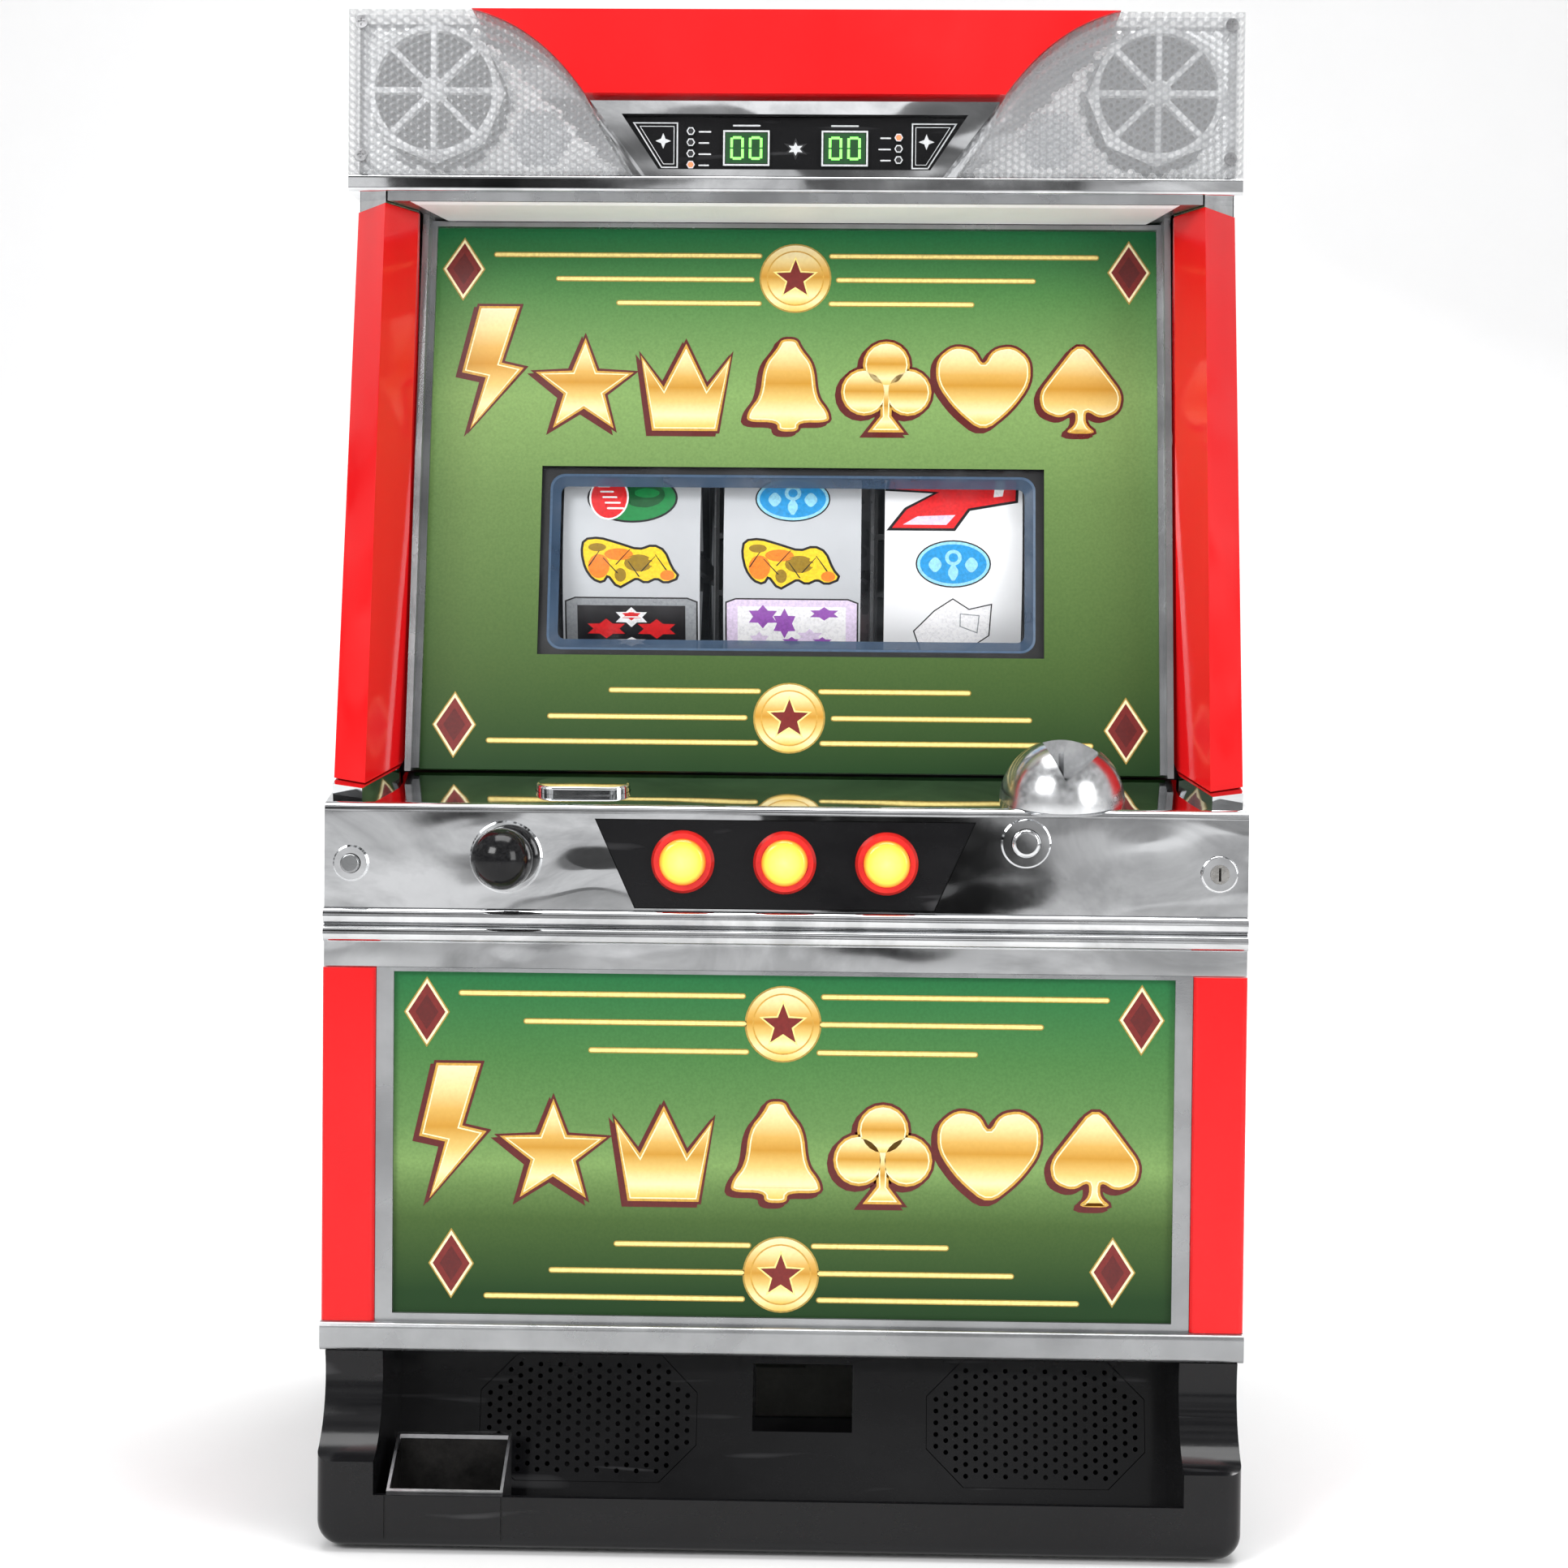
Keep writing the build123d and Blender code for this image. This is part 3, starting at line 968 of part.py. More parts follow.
# The medal selector hangs under the slot, inside the desk.
with BuildPart() as medal_selector:
    selector_top = DESK_FRONT_TOP - SHELL - 4
    block(
        SLOT_X - 24, SLOT_X + 24, DESK_FACE + 14, DOOR_FACE - 6, DESK_BOTTOM + SHELL + 4, selector_top
    )
    block(
        SLOT_X - 2, SLOT_X + 2, DESK_FACE + 17, DOOR_FACE - 20, DESK_BOTTOM + SHELL + 14,
        selector_top + 1, mode=Mode.SUBTRACT,
    )
    block(
        SLOT_X + 4, SLOT_X + 20, DESK_FACE + 13, DESK_FACE + 22, DESK_BOTTOM + SHELL + 10,
        selector_top - 6, mode=Mode.SUBTRACT,
    )
save(medal_selector, "medal_selector")

# ================================================================ lock
CORE_RADIUS = 5.0
CAM_FRONT = DOOR_FACE + DOOR_WALL + 1
BAR_X = HALF - STILE + DOOR_WALL + 0.5
BAR_FRONT = DOOR_FACE + DOOR_WALL + 8
HOOK_DROP = 2.0                 # hook tip above the keeper's tab while unlocked
with BuildPart() as lock_cylinder:
    rod(KEY_X, KEY_Z, KEY_RADIUS, DESK_FACE - 2.5, DESK_FACE)
    fillet(lock_cylinder.edges().sort_by(Axis.Y)[0], radius=1)
    rod(KEY_X, KEY_Z, KEY_RADIUS - 2, DESK_FACE, DESK_FACE + 28)
    rod(KEY_X, KEY_Z, CORE_RADIUS + RUNNING, DESK_FACE - 3, DESK_FACE + 29, Mode.SUBTRACT)
save(lock_cylinder, "lock_cylinder")

with BuildPart() as lock_core:
    rod(KEY_X, KEY_Z, CORE_RADIUS, DESK_FACE - 3, DESK_FACE + 30)
    block(
        KEY_X - 0.6, KEY_X + 0.6, DESK_FACE - 4, DESK_FACE + 10, KEY_Z - 3.5, KEY_Z + 3.5,
        mode=Mode.SUBTRACT,
    )
    rod(KEY_X, KEY_Z, 3, DESK_FACE + 30, CAM_FRONT + 3)
    block(KEY_X - 3, KEY_X + 3, CAM_FRONT, CAM_FRONT + 3, KEY_Z, KEY_Z + 9)
save(lock_core, "lock_core")

with BuildPart() as lock_bar:
    bar_low = KEEPER_HEIGHTS[0] - 10
    bar_top = KEEPER_HEIGHTS[1] + 50
    block(BAR_X, BAR_X + 3, BAR_FRONT, BAR_FRONT + 20, bar_low, bar_top)
    for height in KEEPER_HEIGHTS:
        tip = height + KEEPER_RISE + HOOK_DROP
        arm = tip + LOCK_TRAVEL + 1
        block(BAR_X, BAR_X + 3, BAR_FRONT + 20, KEEPER_TAB_Y + 16, arm, arm + 9)
        block(BAR_X, BAR_X + 3, KEEPER_TAB_Y + 6, KEEPER_TAB_Y + 16, tip, arm)
save(lock_bar, "lock_bar")

# ================================================================ lower door
LOWER_FACE = DESK_FACE - 2
with BuildPart() as lower_frame:
    block(-HALF, HALF, LOWER_FACE - 6, DOOR_FACE, TRAY_TOP, LOWER_RAIL_TOP)
    fillet(lower_frame.faces().sort_by(Axis.Y)[0].edges().filter_by(Axis.X), radius=3)
    block(
        -HALF + SHELL, HALF - SHELL, LOWER_FACE - 6 + SHELL, DOOR_FACE + 1,
        TRAY_TOP + SHELL, LOWER_RAIL_TOP - SHELL, mode=Mode.SUBTRACT,
    )
    for sign in (-1, 1):
        block(
            sign * (LOWER_HALF - 4), sign * LOWER_HALF, LOWER_FACE, DOOR_FACE,
            LOWER_RAIL_TOP, DESK_BOTTOM,
        )
    with BuildSketch(front_plane(LOWER_FACE + 3)):
        rectangle(-LOWER_HALF, LOWER_HALF, LOWER_RAIL_TOP, DESK_BOTTOM)
        rectangle(
            -LOWER_HALF + 9, LOWER_HALF - 9, LOWER_RAIL_TOP + 4, DESK_BOTTOM - 2, mode=Mode.SUBTRACT
        )
    extrude(amount=3)
save(lower_frame, "lower_frame")

with BuildPart() as lower_panel:
    block(
        -LOWER_HALF + 4.2, LOWER_HALF - 4.2, LOWER_FACE + 3, LOWER_FACE + 3 + PANEL_THICK,
        LOWER_RAIL_TOP + 0.2, DESK_BOTTOM - 0.2,
    )
save(lower_panel, "lower_panel")

with BuildPart() as lower_lenses:
    for sign in (-1, 1):
        block(
            sign * (LOWER_HALF + 0.3), sign * HALF, LOWER_FACE - 3, DOOR_FACE,
            LOWER_RAIL_TOP + 0.2, DESK_BOTTOM - 0.2,
        )
    corner_edges = lower_lenses.edges().filter_by(Axis.Z).group_by(Axis.Y)[0]
    fillet(corner_edges, radius=3)
    for sign in (-1, 1):
        block(
            sign * (LOWER_HALF + 0.3 + LENS_WALL), sign * (HALF - LENS_WALL),
            LOWER_FACE - 3 + LENS_WALL, DOOR_FACE + 1,
            LOWER_RAIL_TOP + 0.2 + LENS_WALL, DESK_BOTTOM - 0.2 - LENS_WALL, mode=Mode.SUBTRACT,
        )
save(lower_lenses, "lower_lenses")

# ================================================================ medal tray
TRAY_HALF = HALF - 3
CHEEK_INNER = TRAY_HALF - TRAY_CHEEK
LIP_END = 47.0                  # height of the lip at the cheeks
CHEEK_FRONT = LOWER_FACE - 5
WALL_MIDDLE = TRAY_LENGTH / 2 - 4
with BuildPart() as tray:
    # Side profile over the whole width, with a hollow front edge at the cheeks.
    with BuildSketch(side_plane(-TRAY_HALF)):
        with BuildLine():
            Polyline(
                (DOOR_FACE, TRAY_TOP), (DOOR_FACE, DOOR_BOTTOM), (LIP, DOOR_BOTTOM), (LIP, LIP_END)
            )
            ThreePointArc((LIP, LIP_END), (CHEEK_FRONT - 6, 62), (CHEEK_FRONT, TRAY_TOP))
            Line((CHEEK_FRONT, TRAY_TOP), (DOOR_FACE, TRAY_TOP))
        make_face()
    extrude(amount=2 * TRAY_HALF)
    low_corners = tray.edges().filter_by(Axis.Y).group_by(Axis.Z)[0]
    fillet(low_corners, radius=13)
    front_corners = tray.edges().filter_by(Axis.Z).group_by(Axis.Y)[0]
    fillet(front_corners, radius=9)
    # The bowl between the cheeks, with its leaning back wall.
    with BuildSketch(side_plane(-CHEEK_INNER)):
        outline(
            (LIP - 5, TRAY_LIP), (LIP + TRAY_WALL, TRAY_LIP), (LIP + TRAY_WALL, TRAY_FLOOR),
            (TRAY_FOOT, TRAY_FLOOR), (TRAY_FOOT + TRAY_RUN, TRAY_TOP), (LIP - 5, TRAY_TOP),
        )
    extrude(amount=2 * CHEEK_INNER, mode=Mode.SUBTRACT)
    # Hollow from behind.
    with BuildSketch(side_plane(-TRAY_HALF + TRAY_WALL)):
        outline(
            (DOOR_FACE + 1, DOOR_BOTTOM + 13), (TRAY_FOOT + TRAY_WALL + 4, DOOR_BOTTOM + 13),
            (TRAY_FOOT + TRAY_RUN + TRAY_WALL - 1, TRAY_TOP - TRAY_WALL),
            (DOOR_FACE + 1, TRAY_TOP - TRAY_WALL),
        )
    extrude(amount=2 * (TRAY_HALF - TRAY_WALL), mode=Mode.SUBTRACT)
    # Payout mouth and the openings for the grilles.
    with BuildSketch(TRAY_PLANE.offset(1)):
        with Locations((PAYOUT_X, WALL_MIDDLE + 12)):
            Rectangle(PAYOUT_WIDTH, PAYOUT_HEIGHT)
        for x in GRILLE_CENTRES:
            with Locations((x, WALL_MIDDLE)):
                Rectangle(GRILLE_WIDTH, GRILLE_HEIGHT)
        chamfer_corners = [
            v for v in vertices() if abs(v.X - PAYOUT_X) > PAYOUT_WIDTH
        ]
        chamfer(chamfer_corners, length=20)
    extrude(amount=-TRAY_WALL - 8, mode=Mode.SUBTRACT)
    # Two seams in the lip, beside the ashtray.
    for x in (ASHTRAY_X - ASHTRAY_WIDTH / 2, ASHTRAY_X + ASHTRAY_WIDTH / 2):
        block(x - 0.5, x + 0.5, LIP - 1, LIP + 1, DOOR_BOTTOM - 1, TRAY_LIP + 1, mode=Mode.SUBTRACT)
save(tray, "tray")

# Perforated grilles, eight-sided, with a staggered pattern of round holes.
with BuildPart() as tray_grilles:
    with BuildSketch(TRAY_PLANE):
        for x in GRILLE_CENTRES:
            with Locations((x, WALL_MIDDLE)):
                Rectangle(GRILLE_WIDTH - 2 * FIT, GRILLE_HEIGHT - 2 * FIT)
        chamfer(vertices(), length=20)
        rows = int((GRILLE_HEIGHT - 8) / GRILLE_PITCH)
        columns = int((GRILLE_WIDTH - 8) / (GRILLE_PITCH * math.sqrt(3)))
        for x in GRILLE_CENTRES:
            with Locations((x, WALL_MIDDLE)):
                for column in range(-columns, columns + 1):
                    shift = 0.5 * (column % 2)
                    reach = GRILLE_HEIGHT / 2 - 4
                    across = column * GRILLE_PITCH * math.sqrt(3) / 2
                    slope = GRILLE_WIDTH / 2 + GRILLE_HEIGHT / 2 - 20 - 5 - abs(across)
                    reach = min(reach, slope)
                    places = [
                        (across, (row + shift) * GRILLE_PITCH)
                        for row in range(-rows, rows + 1)
                        if abs((row + shift) * GRILLE_PITCH) < reach
                        and abs(across) < GRILLE_WIDTH / 2 - 4
                    ]
                    if places:
                        with Locations(*places):
                            Circle(GRILLE_HOLE, mode=Mode.SUBTRACT)
    extrude(amount=-2.5)
save(tray_grilles, "tray_grilles")

# Ashtray: a small metal tub with a sloping rim, lifted out for emptying.
ASHTRAY_BACK = LIP + TRAY_WALL + 1 + ASHTRAY_DEPTH
ASHTRAY_FRONT = LIP + TRAY_WALL + 1
with BuildPart() as ashtray:
    with BuildSketch(side_plane(ASHTRAY_X - ASHTRAY_WIDTH / 2)):
        outline(
            (ASHTRAY_FRONT, TRAY_FLOOR + FIT), (ASHTRAY_BACK, TRAY_FLOOR + FIT),
            (ASHTRAY_BACK, TRAY_LIP + 22), (ASHTRAY_FRONT, TRAY_LIP + 1),
        )
    extrude(amount=ASHTRAY_WIDTH)
    with BuildSketch(side_plane(ASHTRAY_X - ASHTRAY_WIDTH / 2 + 1.5)):
        outline(
            (ASHTRAY_FRONT + 1.5, TRAY_FLOOR + 3), (ASHTRAY_BACK - 1.5, TRAY_FLOOR + 3),
            (ASHTRAY_BACK - 1.5, TRAY_TOP), (ASHTRAY_FRONT + 1.5, TRAY_TOP),
        )
    extrude(amount=ASHTRAY_WIDTH - 3, mode=Mode.SUBTRACT)
save(ashtray, "ashtray")

# ================================================================ fasteners
with BuildPart() as door_screws:
    for x, z in SCREW_PLACES:
        rod(x, z, 3.4, TOP_FACE - 1.8, TOP_FACE)
        rod(x, z, SCREW_RADIUS, TOP_FACE, HOUSING_BACK)
        block(x - 2, x + 2, TOP_FACE - 2, TOP_FACE - 1, z - 0.4, z + 0.4, mode=Mode.SUBTRACT)
        block(x - 0.4, x + 0.4, TOP_FACE - 2, TOP_FACE - 1, z - 2, z + 2, mode=Mode.SUBTRACT)
save(door_screws, "door_screws")
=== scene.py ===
import math

import bmesh
import bpy
from mathutils import Matrix, Vector


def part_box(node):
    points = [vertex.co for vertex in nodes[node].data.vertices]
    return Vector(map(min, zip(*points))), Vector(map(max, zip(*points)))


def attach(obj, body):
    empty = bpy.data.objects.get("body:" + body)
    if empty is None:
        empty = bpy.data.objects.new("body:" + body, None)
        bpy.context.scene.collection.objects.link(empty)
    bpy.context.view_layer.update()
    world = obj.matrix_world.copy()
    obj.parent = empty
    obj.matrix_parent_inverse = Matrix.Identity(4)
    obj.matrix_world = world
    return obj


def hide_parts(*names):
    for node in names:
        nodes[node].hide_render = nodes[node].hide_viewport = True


# Looks of the pachislot machine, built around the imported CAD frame. Metres; x right, -y front.
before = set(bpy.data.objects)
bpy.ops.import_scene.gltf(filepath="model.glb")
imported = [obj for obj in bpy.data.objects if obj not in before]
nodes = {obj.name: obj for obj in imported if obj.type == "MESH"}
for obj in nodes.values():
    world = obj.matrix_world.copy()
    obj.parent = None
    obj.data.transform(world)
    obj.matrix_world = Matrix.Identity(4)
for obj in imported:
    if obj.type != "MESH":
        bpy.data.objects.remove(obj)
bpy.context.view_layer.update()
MM = 0.001


# ---------------- shader helpers
def rgb(red, green, blue):
    """An sRGB colour of 0 to 255 as the linear colour that a socket takes."""
    parts = [c / 255 for c in (red, green, blue)]
    linear = [c / 12.92 if c <= 0.04045 else ((c + 0.055) / 1.055) ** 2.4 for c in parts]
    return (*linear, 1.0)


def shaded(tone, factor):
    """The colour of a tone that is dimmed by the factor."""
    return (*(c * factor for c in rgb(*tone)[:3]), 1.0)


class Paint:
    """One material's node tree. Textures are laid out on the object's own coordinates."""

    def __init__(self, name):
        self.material = bpy.data.materials.new(name)
        self.material.use_nodes = True
        self.tree = self.material.node_tree
        self.tree.nodes.clear()
        output = self.tree.nodes.new("ShaderNodeOutputMaterial")
        self.shader = self.tree.nodes.new("ShaderNodeBsdfPrincipled")
        self.tree.links.new(self.shader.outputs["BSDF"], output.inputs["Surface"])
        self.place = self.tree.nodes.new("ShaderNodeTexCoord").outputs["Object"]

    def put(self, socket, value):
        if isinstance(value, bpy.types.NodeSocket):
            self.tree.links.new(value, socket)
        else:
            socket.default_value = value

    def set(self, **values):
        """Principled inputs by name, with an underscore for each space."""
        for key, value in values.items():
            self.put(self.shader.inputs[key.replace("_", " ")], value)
        return self

    def node(self, kind, inputs=(), **settings):
        made = self.tree.nodes.new(kind)
        for key, value in settings.items():
            setattr(made, key, value)
        for key, value in dict(inputs).items():
            self.put(made.inputs[key], value)
        return made

    def stretched(self, stretch, shift=(0, 0, 0)):
        return self.node(
            "ShaderNodeMapping", {"Vector": self.place, "Scale": stretch, "Location": shift}
        ).outputs[0]

    def noise(self, scale, detail=4.0, rough=0.6, stretch=(1, 1, 1), warp=0.0):
        return self.node(
            "ShaderNodeTexNoise",
            {
                "Vector": self.stretched(stretch), "Scale": scale, "Detail": detail,
                "Roughness": rough, "Distortion": warp,
            },
        ).outputs["Fac"]

    def cells(self, scale, stretch=(1, 1, 1), feature="F1", output="Distance"):
        return self.node(
            "ShaderNodeTexVoronoi", {"Vector": self.stretched(stretch), "Scale": scale},
            feature=feature,
        ).outputs[output]

    def calc(self, kind, first, second=0.0):
        """One arithmetic step between two values."""
        made = self.node("ShaderNodeMath", operation=kind)
        self.put(made.inputs[0], first)
        self.put(made.inputs[1], second)
        return made.outputs[0]

    def span(self, value, low, high, to_low=0.0, to_high=1.0):
        return self.node(
            "ShaderNodeMapRange",
            {"Value": value, "From Min": low, "From Max": high, "To Min": to_low, "To Max": to_high},
        ).outputs[0]

    def mix(self, factor, first, second, blend="MIX"):
        made = self.node("ShaderNodeMix", data_type="RGBA", blend_type=blend)
        self.put(made.inputs[0], factor)
        self.put(made.inputs[6], first)
        self.put(made.inputs[7], second)
        return made.outputs[2]

    def ramp(self, factor, stops):
        made = self.node("ShaderNodeValToRGB", {"Fac": factor})
        elements = made.color_ramp.elements
        while len(elements) < len(stops):
            elements.new(0.5)
        for element, (position, colour) in zip(elements, stops):
            element.position = position
            element.color = colour
        return made.outputs[0]

    def axis(self, name):
        return self.node("ShaderNodeSeparateXYZ", {"Vector": self.place}).outputs[name]

    def bump(self, height, strength, depth=0.001, under=None):
        inputs = {"Height": height, "Strength": strength, "Distance": depth}
        if under is not None:
            inputs["Normal"] = under
        return self.node("ShaderNodeBump", inputs).outputs[0]

    def lattice(self, pitch, across="X", up="Z"):
        """A field of hexagonal dimples: three cosine waves a sixth of a turn apart."""
        wave = 2 * math.pi / pitch
        total = None
        for turn in (0, 60, 120):
            along = self.calc(
                "ADD",
                self.calc("MULTIPLY", self.axis(across), wave * math.cos(math.radians(turn))),
                self.calc("MULTIPLY", self.axis(up), wave * math.sin(math.radians(turn))),
            )
            crest = self.calc("COSINE", along)
            total = crest if total is None else self.calc("ADD", total, crest)
        return self.span(total, -1.5, 3.0)


def surface(
    name, dark, light, scale=30.0, rough=(0.3, 0.5), metal=0.0, bump=0.15, depth=0.0004,
    grain=400.0, stretch=(1, 1, 1), coat=0.0, scratches=0.0, shine=0.5, glow=0.0,
):
    """A finish with two mottled tones, uneven gloss, a fine grain and optional long scratches."""
    p = Paint(name)
    broad = p.noise(scale, 5.0, 0.6, stretch)
    fine = p.noise(grain, 3.0, 0.7, stretch)
    tone = p.span(p.calc("ADD", broad, p.calc("MULTIPLY", fine, 0.35)), 0.4, 0.95)
    colour = p.mix(tone, dark, light)
    gloss = p.span(broad, 0.3, 0.7, rough[0], rough[1])
    if scratches:
        lines = p.span(p.noise(160.0, 2.0, 0.5, (0.08, 1.0, 1.0), 0.4), 0.62, 0.7)
        colour = p.mix(p.calc("MULTIPLY", lines, scratches), colour, (0.75, 0.75, 0.75, 1))
        gloss = p.calc("ADD", gloss, p.calc("MULTIPLY", lines, 0.2 * scratches))
    p.set(Base_Color=colour, Roughness=gloss, Metallic=metal, Coat_Weight=coat, Specular_IOR_Level=shine)
    if glow:
        p.set(Emission_Color=colour, Emission_Strength=glow)
    p.set(Normal=p.bump(fine, bump, depth))
    return p.material


# ---------------- materials
def chrome_material(name="chrome", wave=0.35):
    """Chrome with smudges, a faint ripple that bends what it mirrors, and darker tarnished patches."""
    p = Paint(name)
    smudge = p.noise(14.0, 6.0, 0.65)
    waves = p.noise(9.0, 2.0, 0.4, (0.7, 1.0, 1.6))
    tarnish = p.span(p.noise(11.0, 5.0, 0.6, (0.8, 1.0, 1.3), 1.5), 0.40, 0.62)
    base = p.mix(p.span(smudge, 0.35, 0.7), (0.68, 0.69, 0.70, 1), (0.88, 0.89, 0.90, 1))
    p.set(
        Base_Color=p.mix(p.calc("MULTIPLY", tarnish, 0.45), base, (0.20, 0.205, 0.21, 1)),
        Metallic=1.0,
        Roughness=p.span(smudge, 0.35, 0.75, 0.02, 0.08),
        Normal=p.bump(waves, wave, 0.004),
    )
    return p.material


def silver_material():
    p = Paint("silver_paint")
    broad = p.noise(12.0, 5.0, 0.6)
    flake = p.cells(1400.0)
    worn = p.span(p.noise(60.0, 6.0, 0.7), 0.62, 0.72)
    base = p.mix(p.span(broad, 0.3, 0.7), (0.24, 0.245, 0.25, 1), (0.46, 0.47, 0.48, 1))
    p.set(
        Base_Color=p.mix(p.calc("MULTIPLY", worn, 0.12), base, (0.22, 0.22, 0.23, 1)),
        Metallic=0.85,
        Roughness=p.span(broad, 0.3, 0.7, 0.2, 0.34),
        Normal=p.bump(flake, 0.08, 0.0002),
    )
    return p.material


def clear_material(name="clear_lattice", alpha=0.26, pitch=0.0036, strength=0.35):
    """Clear moulding: a hexagonal lattice of ribs that are more solid than the windows between."""
    p = Paint(name)
    dots = p.lattice(pitch)
    haze = p.noise(25.0, 4.0)
    ribs = p.span(dots, 0.22, 0.5, 1.0, 0.0)
    seen = p.span(ribs, 0.0, 1.0, alpha - 0.14, alpha + 0.14)
    p.set(
        Base_Color=p.mix(ribs, (0.95, 0.96, 0.97, 1), (0.36, 0.37, 0.38, 1)),
        Roughness=p.span(haze, 0.3, 0.7, 0.06, 0.2),
        Alpha=seen,
        Normal=p.bump(dots, strength, 0.0012),
    )
    return p.material


def glass_material():
    p = Paint("window_clear")
    dust = p.span(p.noise(40.0, 6.0, 0.7), 0.5, 0.8)
    p.set(
        Base_Color=p.mix(dust, (0.05, 0.06, 0.07, 1), (0.4, 0.42, 0.45, 1)),
        Roughness=p.span(dust, 0, 1, 0.03, 0.2), Alpha=p.span(dust, 0, 1, 0.03, 0.06),
    )
    return p.material


def red_lens_material():
    p = Paint("red_lens")
    cloud = p.noise(9.0, 3.0, 0.5, (1.0, 1.0, 0.35))
    grain = p.noise(420.0, 3.0, 0.6)
    colour = p.mix(p.span(cloud, 0.3, 0.7), (0.58, 0.004, 0.006, 1), (0.72, 0.010, 0.012, 1))
    p.set(
        Base_Color=colour, Roughness=p.span(p.noise(30.0), 0.3, 0.7, 0.08, 0.2),
        Emission_Color=colour, Emission_Strength=0.14, Specular_IOR_Level=0.3,
        Normal=p.bump(grain, 0.05, 0.0003, p.bump(cloud, 0.3, 0.003)),
    )
    return p.material


def black_gloss_material():
    p = Paint("black_gloss")
    smear = p.noise(16.0, 6.0, 0.7, (0.6, 1, 1))
    lines = p.span(p.noise(130.0, 2.0, 0.5, (0.07, 1.0, 0.6), 0.5), 0.64, 0.72)
    specks = p.span(p.cells(900.0), 0.03, 0.12, 1.0, 0.0)
    wear = p.calc("MAXIMUM", p.calc("MULTIPLY", lines, 0.16), p.calc("MULTIPLY", specks, 0.12))
    p.set(
        Base_Color=p.mix(wear, p.mix(smear, (0.003, 0.003, 0.0035, 1), (0.010, 0.010, 0.011, 1)),
                         (0.25, 0.25, 0.26, 1)),
        Roughness=p.span(smear, 0.3, 0.75, 0.07, 0.22), Specular_IOR_Level=0.26,
        Normal=p.bump(smear, 0.06, 0.001),
    )
    return p.material


def laminate_material():
    p = Paint("cabinet_laminate")
    grain = p.noise(5.0, 9.0, 0.62, (9.0, 9.0, 0.45), 0.8)
    pores = p.span(p.noise(90.0, 3.0, 0.6, (6.0, 6.0, 0.2)), 0.55, 0.72)
    scuff = p.span(p.noise(16.0, 7.0, 0.75), 0.66, 0.8)
    base = p.ramp(grain, [
        (0.25, (0.008, 0.006, 0.005, 1)), (0.5, (0.022, 0.015, 0.011, 1)),
        (0.72, (0.040, 0.028, 0.020, 1)),
    ])
    base = p.mix(p.calc("MULTIPLY", pores, 0.6), base, (0.004, 0.003, 0.003, 1))
    p.set(
        Base_Color=p.mix(p.calc("MULTIPLY", scuff, 0.3), base, (0.13, 0.12, 0.11, 1)),
        Roughness=p.span(grain, 0.2, 0.8, 0.34, 0.56),
        Normal=p.bump(p.calc("SUBTRACT", grain, pores), 0.25, 0.0004),
    )
    return p.material


def zinc_material():
    p = Paint("zinc_steel")
    spangle = p.cells(190.0, output="Color")
    tone = p.node("ShaderNodeSeparateColor", {"Color": spangle}).outputs[0]
    p.set(
        Base_Color=p.mix(tone, (0.34, 0.35, 0.36, 1), (0.60, 0.61, 0.62, 1)),
        Metallic=1.0, Roughness=p.span(tone, 0, 1, 0.26, 0.48),
        Normal=p.bump(p.noise(350.0, 3.0), 0.08, 0.0003),
    )
    return p.material


def printed_material(name, node, stops):
    """The green print: a gradient up the panel, dimmed towards its foot as painted shade, with a fine
    screen pattern and a soft sheen.
    """
    low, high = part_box(node)
    p = Paint(name)
    up = p.span(p.axis("Z"), low.z, high.z)
    # Painted shade: each green is dimmed to half at the panel's foot, rising to 0.86 at its top.
    colour = p.ramp(up, [(at, shaded(tone, 0.5 + 0.36 * at)) for at, tone in stops])
    mottle = p.span(p.noise(700.0, 2.0, 0.5), 0.3, 0.7, 0.14, 0.30)
    colour = p.mix(mottle, colour, (0.01, 0.05, 0.01, 1))
    p.set(
        Base_Color=colour, Roughness=p.span(p.noise(20.0, 4.0), 0.3, 0.7, 0.34, 0.40),
        Emission_Color=colour, Emission_Strength=0.06, Specular_IOR_Level=0.2,
        Normal=p.bump(p.noise(120.0, 3.0), 0.03, 0.0003),
    )
    return p.material


def gold_material():
    """Gold leaf of the ornaments: pale, deep and pale again from top to bottom of each one."""
    p = Paint("gold_print")
    up = p.node("ShaderNodeSeparateXYZ", {"Vector": p.node("ShaderNodeUVMap").outputs[0]}).outputs["Y"]
    tones = [
        (0.0, (232, 190, 84)), (0.16, (246, 232, 176)), (0.34, (226, 194, 112)),
        (0.52, (196, 142, 40)), (0.66, (214, 170, 84)), (0.84, (236, 214, 150)),
        (1.0, (240, 224, 180)),
    ]
    colour = p.ramp(up, [(at, rgb(*tone)) for at, tone in tones])
    grain = p.span(p.noise(500.0, 3.0), 0.3, 0.7, 0.0, 0.12)
    colour = p.mix(grain, colour, rgb(170, 120, 30))
    p.set(
        Base_Color=colour, Roughness=p.span(p.noise(60.0), 0.3, 0.7, 0.28, 0.44),
        Emission_Color=colour, Emission_Strength=0.04, Normal=p.bump(grain, 0.05, 0.0002),
    )
    return p.material


def ink(name, tone, glow=0.10):
    """A printed ink: the tone with a fine grain and slightly uneven gloss."""
    p = Paint(name)
    grain = p.noise(600.0, 3.0, 0.6)
    deep = shaded(tone, 0.72)
    colour = p.mix(p.span(grain, 0.35, 0.75), rgb(*tone), deep)
    p.set(
        Base_Color=colour, Roughness=p.span(p.noise(45.0), 0.3, 0.7, 0.25, 0.45),
        Emission_Color=colour, Emission_Strength=glow, Normal=p.bump(grain, 0.04, 0.0002),
    )
    return p.material


